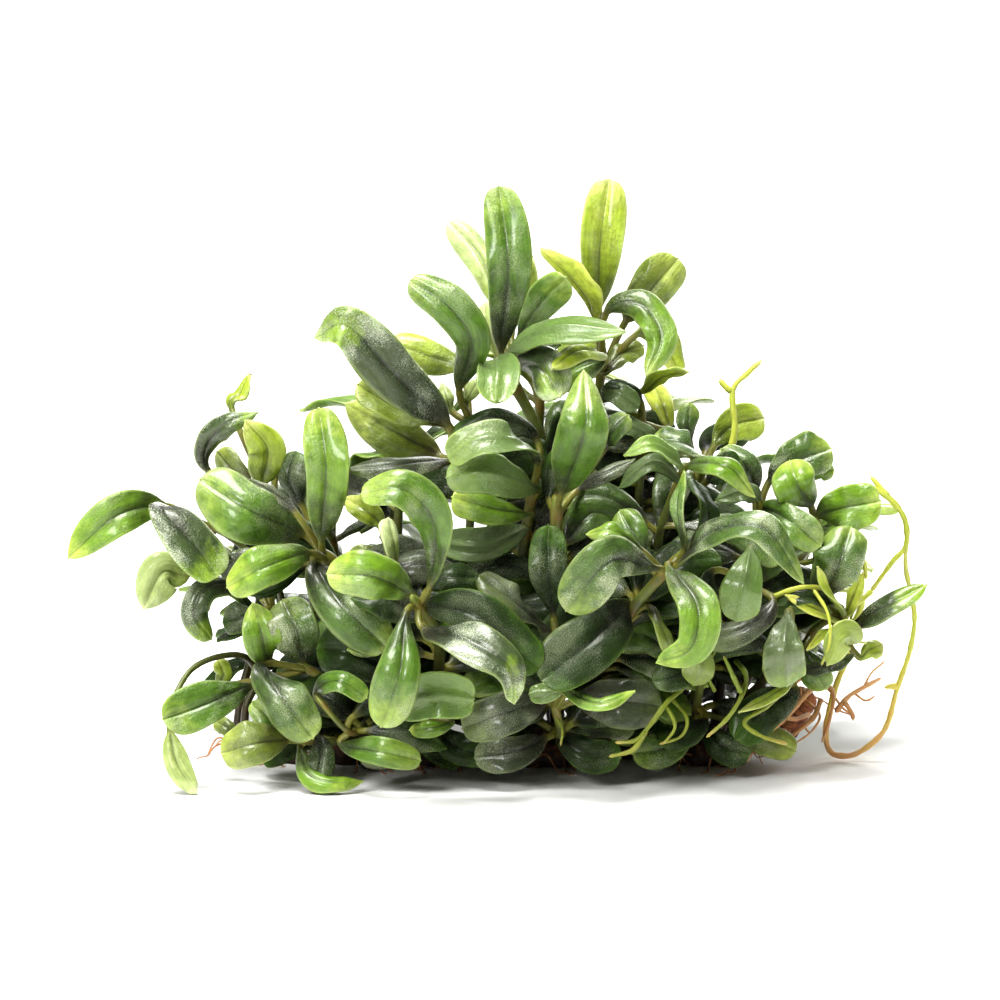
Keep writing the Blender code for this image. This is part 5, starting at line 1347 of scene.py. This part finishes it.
grown = {name: [] for name in stems}
for name, outline, facing, width, tone, *points in SMALL_LEAVES:
    points = [seen(point) for point in points]
    leaf_orders.append(("shoot_" + name, outline, FACINGS[facing], width, tone, points))
for name, *order in leaf_orders:
    leaf = Leaf(name, *order, len(grown[name]))
    settle(leaf)
    grown[name].append(leaf)
for tone, leaves in OTHER_TONES.items():
    for name, number in leaves:
        grown["shoot_" + name][number].tone = tone

# Older leaves, mostly small and dark, sit all the way up the stems inside the clump. They
# grow to the sides and to the back, a third of a turn and a bit from one to the next,
# wherever there is room, and leave open the chinks that the light comes through.
INNER_PITCH = 1.15
INNER_SHARE = 0.80
INNER_START = 0.14
INNER_SPREAD = 0.66
INNER_JITTER = 0.3
INNER_TURN = 137.5
INNER_RISE = (-5, 50)
INNER_TRIES = (0, 65, -65, 130)
INNER_CLEARANCE = 0.12
INNER_WAYS = WAYS[:14]
INNER_LENGTH = (7.5, 11.5)
INNER_WIDTH = (3.4, 4.8)
INNER_STALK = 1.6
INNER_HANG = 0.6
INNER_FRONT = 0.35
INNER_OUTLINES = ("oblong", "spoon", "lance")
INNER_TONES = ("deep", "deep", "dusk", "deep", "silver", "green")

# The chinks: how far across and how high their middles are seen, and their reach.
CHINKS = (
    (-5.5, 24.0, 1.3), (1.5, 36.2, 0.9), (3.4, 34.8, 0.9), (-15.0, 23.5, 1.8),
    (29.0, 25.3, 0.7), (24.2, 28.2, 0.9), (-20.0, 17.5, 1.4), (12.5, 39.3, 2.0),
    (-27.5, 11.5, 2.0), (-26.5, 14.5, 1.6), (-6.4, 32.3, 1.2),
)

# The breadth of the dense part of the clump as seen from the front: at each height, how
# far it reaches to the left and to the right.
BREADTH = (
    (0.0, -24.0, 26.0), (8.0, -23.0, 30.0), (15.0, -22.0, 33.0), (22.0, -26.0, 33.5),
    (27.0, -27.0, 32.5), (31.0, -22.0, 27.0), (35.0, -11.0, 18.0), (40.0, -7.0, 12.0),
    (45.0, 0.0, 6.0), (48.0, 0.0, 0.0),
)


def outside_chinks(leaf):
    """Whether a leaf stays in the dense part and off the chinks in it, as seen from the front."""
    heights, lefts, rights = zip(*BREADTH)
    for point in leaf.path(*leaf.way)[4:]:
        across = point.x - SHIFT_X
        up = point.z * math.cos(VIEW_TILT) + (point.y - SHIFT_Y) * math.sin(VIEW_TILT)
        if not np.interp(up, heights, lefts) < across < np.interp(up, heights, rights):
            return False
        for middle, height, reach in CHINKS:
            if math.hypot(across - middle, up - height) < reach + leaf.width * 0.4:
                return False
    return True


def inner_line(root, turn, rise, reach):
    """The way an inner leaf faces, and its points from base to tip."""
    way = math.radians(turn)
    out = Vector((math.cos(way), math.sin(way), 0.0))
    if out.y < -INNER_FRONT:
        out = Vector((out.x, -INNER_FRONT * out.y, 0.0)).normalized()
    ahead = out * math.cos(rise) + UP * math.sin(rise)
    base = root + ahead * INNER_STALK
    middle = base + ahead * reach * 0.5
    hanging = out + UP * (math.sin(rise) - INNER_HANG)
    tip = middle + hanging.normalized() * reach * 0.5
    return Vector((out.x * 0.3, -0.75, 0.65)), (base, middle, tip)


inner = {name: [] for name in stems}
for name, (radius, bends, line) in stems.items():
    own = random.Random(name)
    count = int(length_of(bends) * INNER_SHARE / INNER_PITCH)
    turn = own.uniform(0, 360)
    for number in range(count):
        spot = (number + own.uniform(-INNER_JITTER, INNER_JITTER)) / max(count - 1, 1)
        root = line[int((INNER_START + INNER_SPREAD * spot) * (len(line) - 1))]
        turn += INNER_TURN
        reach = own.uniform(*INNER_LENGTH)
        rise = math.radians(own.uniform(*INNER_RISE))
        outline = INNER_OUTLINES[number % len(INNER_OUTLINES)]
        tone = INNER_TONES[own.randrange(len(INNER_TONES))]
        width = own.uniform(*INNER_WIDTH)
        for more in INNER_TRIES:
            facing, points = inner_line(root, turn + more, rise, reach)
            leaf = Leaf(name, outline, facing, width, tone, points, len(grown[name]) + number)
            if not outside_chinks(leaf):
                continue
            if settle(leaf, INNER_WAYS, INNER_CLEARANCE) == 0 and outside_chinks(leaf):
                inner[name].append(leaf)
                break
            taken.pop()

# Each blade as it is seen: rings of corners that lie close together at the tip, with a
# sunken midrib, rolled edges and a few slow ripples. Blades inside have fewer corners.
STALK_STATIONS = 6
BLADE_STATIONS = 26
TIP_SHARES = (0.955, 0.975, 0.988, 0.9955, 0.999, 1.0)
UPPER = (-1.0, -0.94, -0.82, -0.64, -0.44, -0.24, -0.09, 0.0, 0.09, 0.24, 0.44, 0.64, 0.82, 0.94, 1.0)
UNDER = (0.9, 0.66, 0.38, 0.12, 0.0, -0.12, -0.38, -0.66, -0.9)
OUTER_SHAPE = (BLADE_STATIONS, UPPER, UNDER)
INNER_SHAPE = (12, (-1.0, -0.82, -0.45, -0.1, 0.0, 0.1, 0.45, 0.82, 1.0), (0.7, 0.0, -0.7))
BLADE_THICKNESS = 0.30
EDGE_THICKNESS = 0.09
RIB_HEIGHT = 0.10
CREASE_WIDTH = 0.11
RIB_WIDTH = 0.14
POINT_LENGTH = (0.1, 0.14)
POINT_WIDTHS = (0.16, 0.05)
STALK_BLEND = 0.25
TWIST = 0.16
DROOP = (-0.20, 0.40)
SWELL = (0.03, 0.11)
CREASE = (0.05, 0.11)
RIPPLE = (0.07, 0.22)
LANCE_RIPPLE = 1.3
RIPPLES = (1.0, 3.0)
BILLOW = (0.05, 0.22)
BILLOWS = (3.5, 7.0)
COMMON_WIDTH = 4
CALM = 0.75


def between(rows, places):
    """Rows of a smooth run at in-between places."""
    padded = np.vstack([2 * rows[0] - rows[1], rows, 2 * rows[-1] - rows[-2]])
    index = np.clip(np.floor(places), 0, len(rows) - 2).astype(int)
    t = (places - index)[:, None]
    a, b, c, d = padded[index], padded[index + 1], padded[index + 2], padded[index + 3]
    return 0.5 * (2 * b + (c - a) * t + (2 * a - 5 * b + 4 * c - d) * t**2 + (3 * b - a - 3 * c + d) * t**3)


def ring_shares(stations):
    """How far along the blade each ring of corners is, from -1 at the joint to 1 at the tip."""
    run = np.linspace(0, 1, stations)
    blade = (0.55 * run + 0.45 * np.sin(run * math.pi / 2)) * TIP_SHARES[0]
    stalk = np.linspace(-1, 0, STALK_STATIONS, endpoint=False)
    return np.concatenate([stalk, blade, TIP_SHARES[1:]])


def ring_frames(leaf, shares):
    """At each ring: its middle, way across, facing and distance, and how calm the blade is."""
    frames = leaf_frames(leaf.facing, leaf.path(*leaf.way))
    points, sides, normals = (np.array([tuple(frame[part]) for frame in frames]) for part in range(3))
    last = len(frames) - 1
    start = leaf.blade_start
    places = np.where(shares < 0, start * (1 + shares), start + (1 - start) * shares) * last
    across = between(sides, places)
    facing = between(normals, places)
    across /= np.linalg.norm(across, axis=1)[:, None]
    facing /= np.linalg.norm(facing, axis=1)[:, None]
    toward = abs(points[-1][1] - points[len(points) // 3][1]) / leaf.length
    calm = 1 - CALM * min(toward * leaf.width / COMMON_WIDTH, 1.0)
    return between(points, places), across, facing, places / last * leaf.length, calm


def ring_faces(count, ring):
    """The faces between the rings of a blade, and one at each end."""
    rows = np.arange(count - 1)[:, None] * ring
    here = np.arange(ring)[None, :]
    after = (here + 1) % ring
    quads = np.stack([rows + here, rows + ring + here, rows + ring + after, rows + after], axis=-1)
    faces = [tuple(quad) for quad in quads.reshape(-1, 4).tolist()]
    faces.append(tuple(range(ring)))
    faces.append(tuple(range(count * ring - 1, count * ring - ring - 1, -1)))
    return faces


def blade_of(leaf, stations, upper_side, under_side):
    """The finished leaf: corners, faces, and where each corner is on the blade."""
    own = random.Random(f"{leaf.shoot} {leaf.order}")
    shares = ring_shares(stations)
    centres, across, facing, lengths, calm = ring_frames(leaf, shares)
    ahead = centres[-1] - centres[-5]
    centres[-1] += ahead / np.linalg.norm(ahead) * own.uniform(*POINT_LENGTH)

    # How wide each ring is, and how far its blade has grown out of the round stalk.
    share = np.clip(shares, 0, 1)
    widths = np.array([half_width(leaf.outline, value) if 0 < value < 1 else 0.0 for value in share])
    half = np.maximum(widths * leaf.width / 2, PETIOLE_RADIUS * (share < 0.9))
    half[-2:] = POINT_WIDTHS
    spread = np.clip(share / STALK_BLEND, 0, 1)
    spread = spread * spread * (3 - 2 * spread)
    spread[-1] = 1.0

    # What makes each leaf its own: uneven halves, a twist, and rises and falls of the blade.
    uneven = own.uniform(-0.10, 0.10) * np.sin(share * math.pi)
    uneven += own.uniform(0, 0.06) * np.sin(share * 9 + own.uniform(0, 6))
    twist = own.uniform(-TWIST, TWIST) * share
    droop = own.uniform(*DROOP)
    swell = own.uniform(*SWELL)
    crease = own.uniform(*CREASE)
    ripple = own.uniform(*RIPPLE) * (LANCE_RIPPLE if leaf.outline == "lance" else 1.0) * calm
    ripples = own.uniform(*RIPPLES)
    shift = own.uniform(0, math.tau)
    billow = own.uniform(*BILLOW) * leaf.width / COMMON_WIDTH
    billow = billow * np.sin(share * own.uniform(*BILLOWS) + shift) * spread * calm
    centres = centres + facing * billow[:, None]
    turned = across * np.cos(twist)[:, None] + facing * np.sin(twist)[:, None]
    face = facing * np.cos(twist)[:, None] - across * np.sin(twist)[:, None]

    # The section: where each corner lies between the edges, which are at -1 and 1, over the
    # upper side and back below.
    place = np.array(upper_side + under_side)
    upper = np.array([1.0] * len(upper_side) + [0.0] * len(under_side))
    from_rib = np.abs(place)
    half_side = half[:, None] * (1 + uneven[:, None] * np.sign(place)[None, :]) * place[None, :]
    arch = swell * np.sin(np.clip(from_rib, 0, 1) * math.pi) - droop * from_rib**1.8
    arch -= crease * np.exp(-((place / CREASE_WIDTH) ** 2))
    thick = BLADE_THICKNESS * np.sqrt(np.clip(1 - from_rib**2.4, 0, 1)) + EDGE_THICKNESS * (from_rib < 1)
    rib = RIB_HEIGHT * np.exp(-((place / RIB_WIDTH) ** 2)) * (1 - upper)
    swing = share[:, None] * math.tau * ripples + shift + 0.9 * np.sign(place)[None, :]
    wave = ripple * from_rib[None, :] ** 2.2 * np.sin(swing)
    blade = half[:, None] * (arch[None, :] + wave)
    thin = np.clip(1.25 - 0.45 * share, 0, 1)[:, None]
    blade += thin * (np.where(upper > 0, 0.5, -0.5) * thick - rib)[None, :]
    stalk = np.where(upper > 0, 1, -1) * LEAF_THICKNESS / 2 * np.sqrt(np.clip(1 - from_rib**2, 0, 1))
    lift = (1 - spread)[:, None] * stalk[None, :] + spread[:, None] * blade
    corners = centres[:, None, :] + turned[:, None, :] * half_side[:, :, None]
    corners = corners + face[:, None, :] * lift[:, :, None]
    corners[:, :, 2] = np.maximum(corners[:, :, 2], 0.03)

    where = np.stack(np.broadcast_arrays(place[None, :], shares[:, None], upper[None, :]), axis=-1)
    grain = np.stack(np.broadcast_arrays(half_side, lengths[:, None], own.uniform(0, 90)), axis=-1)
    faces = ring_faces(len(shares), len(place))
    return corners.reshape(-1, 3), faces, where.reshape(-1, 3), grain.reshape(-1, 3)


def leaf_patterns(tree):
    """Where a spot is on its blade, and the uneven patterns that the skin is made of."""
    parts = node(tree, "SeparateXYZ", {0: mark(tree, "blade", "Vector")}).outputs
    grain = mark(tree, "grain", "Vector")
    return {
        "from_rib": sums(tree, "ABSOLUTE", parts["X"]),
        "along": parts["Y"],
        "upper": parts["Z"],
        "patches": mottle(tree, grain, 0.45),
        "clouds": mottle(tree, grain, 0.26, 2.0, (1.0, 0.75, 1.7)),
        "quilt": mottle(tree, grain, 1.2, 2.0, (1.0, 0.7, 1.0)),
        "veins": mottle(tree, grain, 1.0, 3.0, (4.0, 0.28, 1.0)),
        "dust": mottle(tree, grain, 11.0, 2.0),
        "pores": mottle(tree, grain, 5.0, 2.0, (1.0, 0.8, 1.0)),
        "age": mottle(tree, grain, 1.0, 1.0, (0.0, 0.0, 0.61)),
    }


def blade_colour(tree, tone, patterns):
    """The colour of the flesh: dark at the base and along the midrib, pale at tip and margin."""
    base, body, tip, margin = LEAF_COLOURS[tone]
    dark = (*(part * 0.45 for part in base), 1.0)
    from_rib = patterns["from_rib"]
    along = patterns["along"]
    veins = patterns["veins"]
    moved = swayed(tree, along, patterns["patches"], 0.8)
    moved = plus(tree, moved, eased(tree, patterns["age"], 0.3, 0.7, -0.12, 0.12))
    colour = colours(tree, moved, (0.08, base), (0.46, body), (0.72, body), (1.02, tip))
    shade = eased(tree, veins, 0.25, 0.75, 0.84, 1.12)
    shade = plus(tree, shade, eased(tree, patterns["quilt"], 0.3, 0.7, -0.14, 0.14))
    colour = node(tree, "VectorMath", {0: colour, "Scale": shade}, operation="SCALE").outputs["Vector"]
    streak = eased(tree, swayed(tree, from_rib, veins, 0.35), 0.02, 0.42, 0.6, 0.0)
    shadow = times(tree, streak, eased(tree, moved, 0.2, 0.85, 1.0, 0.0))
    colour = mixed(tree, shadow, colour, dark)
    line = eased(tree, from_rib, 0.01, 0.07, 0.75, 0.0)
    line = times(tree, line, eased(tree, moved, 0.4, 0.95, 1.0, 0.3))
    colour = mixed(tree, line, colour, dark)
    rim = sums(tree, "MAXIMUM", eased(tree, from_rib, 0.80, 1.0), eased(tree, along, 0.93, 1.0))
    return mixed(tree, times(tree, rim, 0.32), colour, (*margin, 1.0))


def with_sheen(tree, tone, patterns, colour):
    """The colour under painted sheen and pale speckles with painted glints, duller below, and brownish on
    the stalk.
    """
    body = LEAF_COLOURS[tone][1]
    speckle_and_glint, sheen_amount = LEAF_FINISHES[tone][:2]
    along = patterns["along"]
    dust = patterns["dust"]
    clouds = patterns["clouds"]
    # Painted sheen: pale patches laid over the flesh where the wet surface would catch the light.
    painted_sheen = eased(tree, clouds, 0.50, 0.68)
    painted_sheen = times(tree, painted_sheen, eased(tree, patterns["from_rib"], 0.05, 0.30, 0.35, 1.0))
    painted_sheen = times(tree, painted_sheen, eased(tree, along, 0.05, 0.35))
    painted_sheen = times(tree, painted_sheen, eased(tree, dust, 0.36, 0.58, 0.35, 1.0))
    sheen_colour = (0.52, 0.56, 0.36, 1.0) if sheen_amount <= 1 else (0.63, 0.67, 0.50, 1.0)
    colour = mixed(tree, times(tree, painted_sheen, min(sheen_amount * 0.52, 0.68)), colour, sheen_colour)
    # Pale speckles, partly the leaf's own grains and partly painted glints, thickest where the painted sheen
    # is.
    speckles_and_glints = times(tree, eased(tree, dust, 0.54, 0.64), eased(tree, clouds, 0.38, 0.58, 0.12, 1.0))
    colour = mixed(tree, times(tree, speckles_and_glints, speckle_and_glint), colour, (0.44, 0.49, 0.38, 1.0))
    below = tuple(0.55 * one + 0.45 * other for one, other in zip(body, (0.25, 0.33, 0.14)))
    colour = mixed(tree, eased(tree, patterns["upper"], 0.0, 0.5, 0.6, 0.0), colour, (*below, 1.0))
    stalk = mixed(tree, patterns["patches"], (0.13, 0.17, 0.026, 1.0), (0.19, 0.14, 0.030, 1.0))
    return mixed(tree, eased(tree, along, -0.1, 0.1, 1.0, 0.0), colour, stalk)


def leaf_skin(tone):
    """Glossy leaf skin in one tone, laid out by its place on the blade."""
    rough, glossy = LEAF_FINISHES[tone][2:]
    skin, tree, shader = skin_tree("leaf " + tone)
    patterns = leaf_patterns(tree)
    colour = with_sheen(tree, tone, patterns, blade_colour(tree, tone, patterns))
    tree.links.new(colour, shader.inputs["Base Color"])
    clouds = patterns["clouds"]
    dust = patterns["dust"]
    dull = eased(tree, clouds, 0.35, 0.65, rough + 0.14, rough)
    dull = plus(tree, dull, eased(tree, dust, 0.3, 0.8, 0.0, 0.10))
    tree.links.new(dull, shader.inputs["Roughness"])
    shader.inputs["Specular IOR Level"].default_value = glossy
    shader.inputs["Specular Tint"].default_value = (0.98, 1.0, 0.80, 1.0)
    shader.inputs["Coat Weight"].default_value = glossy * 0.9
    shader.inputs["Coat Roughness"].default_value = 0.17
    soft(shader, 0.3, (0.65, 1.0, 0.28), 0.0007)
    wet = times(tree, patterns["pores"], eased(tree, clouds, 0.36, 0.60, 0.4, 1.0))
    dented(
        tree, shader, (patterns["quilt"], 0.6, 0.28), (patterns["veins"], 0.45, 0.07),
        (wet, 0.8, 0.14), (dust, 0.5, 0.04),
    )
    return skin


# The seen skins of the stems and leaves come last, because a stem swells where its leaves
# have come to sit. At its foot it widens and runs on down into the bark of the rhizome.
def stem_girths(path, radius, length, joints):
    """The radius at each point of a stem, and the marks that its colour follows."""
    last = len(path) - 1
    girths = []
    marks = {"along": [], "joint": [], "ring": []}
    for index, point in enumerate(path):
        spot = index / last
        joint = max(math.exp(-(((point - place).length / JOINT_REACH) ** 2)) for place in joints)
        off_ring = ((spot * length / STEM_RING_PITCH) % 1.0 - 0.5) * STEM_RING_PITCH
        ring = math.exp(-((off_ring / STEM_RING_WIDTH) ** 2))
        from_end = min(last - index, TIP_STEPS) / TIP_STEPS
        blunt = math.sqrt(1 - (1 - from_end) ** 2 * 0.9)
        share = STEM_FIT - STEM_TAPER * spot + JOINT_SWELL * joint + STEM_RING_HEIGHT * ring
        share += FOOT_FLARE * math.exp(-((spot * length / FOOT_DEPTH) ** 2))
        girths.append(radius * share * blunt)
        for name, value in zip(marks, (spot, joint, ring)):
            marks[name] += [value] * STEM_SIDES
    return girths, marks


leaf_skins = {tone: leaf_skin(tone) for tone in LEAF_COLOURS}
stem_finish = stem_skin()
for name, (radius, bends, line) in stems.items():
    rooted = [bends[0] - UP * min(FOOT_DEPTH, bends[0].z - 0.3), *bends]
    length = length_of(rooted)
    path = smooth_path(rooted, max(int(length * STEM_STEPS_PER_MM), 12))
    girths, marks = stem_girths(path, radius, length, [leaf.points[0] for leaf in grown[name]])
    corners, faces = swept(path, girths, STEM_SIDES)
    built(name + "_stem", corners, faces, [stem_finish], "stem", name, marks=marks)

    tones = sorted({leaf.tone for leaf in grown[name] + inner[name]})
    corners = []
    faces = []
    where = []
    grain = []
    picks = []
    total = 0
    for leaf in grown[name] + inner[name]:
        shape = INNER_SHAPE if leaf in inner[name] else OUTER_SHAPE
        blade, blade_sides, blade_where, blade_grain = blade_of(leaf, *shape)
        faces += [tuple(total + corner for corner in face) for face in blade_sides]
        picks += [tones.index(leaf.tone)] * len(blade_sides)
        total += len(blade)
        corners.append(blade)
        where.append(blade_where)
        grain.append(blade_grain)
    built(
        name + "_leaves", np.vstack(corners), faces, [leaf_skins[tone] for tone in tones], "leaf", name,
        marks={"blade": np.vstack(where), "grain": np.vstack(grain)}, picks=picks,
    )

# The floor is plain white paper, lit softly by one large light above, one at the front
# left and one behind that shines through the upper leaves.
CAMERA_DISTANCE = 2.0
VIEW_WIDTH = 0.1
VIEW_CENTRE = (0.0003, -0.00118, 0.0269)
SENSOR_WIDTH = 36.0
FLOOR_SIZE = 8.0
FLOOR_DROP = 0.0001

bpy.ops.mesh.primitive_plane_add(size=FLOOR_SIZE, location=(0.0, 0.0, -FLOOR_DROP))
floor = bpy.context.object
floor.name = "studio_floor"
paper, tree, shader = skin_tree("white paper")
fibres = mottle(tree, position(tree), 900.0)
white = mixed(tree, fibres, (0.90, 0.89, 0.87, 1.0), (0.94, 0.935, 0.925, 1.0))
tree.links.new(white, shader.inputs["Base Color"])
shader.inputs["Roughness"].default_value = 0.9
shader.inputs["Specular IOR Level"].default_value = 0.1
floor.data.materials.append(paper)

world = bpy.data.worlds.new("white studio")
world.use_nodes = True
background = world.node_tree.nodes["Background"]
background.inputs["Color"].default_value = (1.0, 1.0, 1.0, 1.0)
background.inputs["Strength"].default_value = 0.20
bpy.context.scene.world = world


def softbox(name, place, target, size, power):
    """A square soft light that looks at a point."""
    lamp = bpy.data.lights.new(name, "AREA")
    lamp.shape = "SQUARE"
    lamp.size = size
    lamp.energy = power
    holder = bpy.data.objects.new(name, lamp)
    holder.location = place
    holder.rotation_euler = (Vector(target) - Vector(place)).to_track_quat("-Z", "Y").to_euler()
    bpy.context.scene.collection.objects.link(holder)


softbox("top light", (-0.12, -0.10, 0.70), VIEW_CENTRE, 0.32, 8.7)
softbox("front light", (-0.32, -0.50, 0.38), VIEW_CENTRE, 0.20, 3.0)
softbox("back light", (0.20, 0.60, 0.30), VIEW_CENTRE, 0.40, 3.2)

eye = bpy.data.cameras.new("front view")
eye.sensor_width = SENSOR_WIDTH
eye.lens = SENSOR_WIDTH * CAMERA_DISTANCE / VIEW_WIDTH
eye.clip_end = 20.0
camera = bpy.data.objects.new("front view", eye)
away = Vector((0.0, -math.cos(VIEW_TILT), math.sin(VIEW_TILT)))
camera.location = Vector(VIEW_CENTRE) + away * CAMERA_DISTANCE
camera.rotation_euler = (-away).to_track_quat("-Z", "Y").to_euler()
bpy.context.scene.collection.objects.link(camera)
bpy.context.scene.camera = camera
bpy.context.scene.view_settings.view_transform = "Standard"
bpy.context.scene.view_settings.look = "Medium High Contrast"
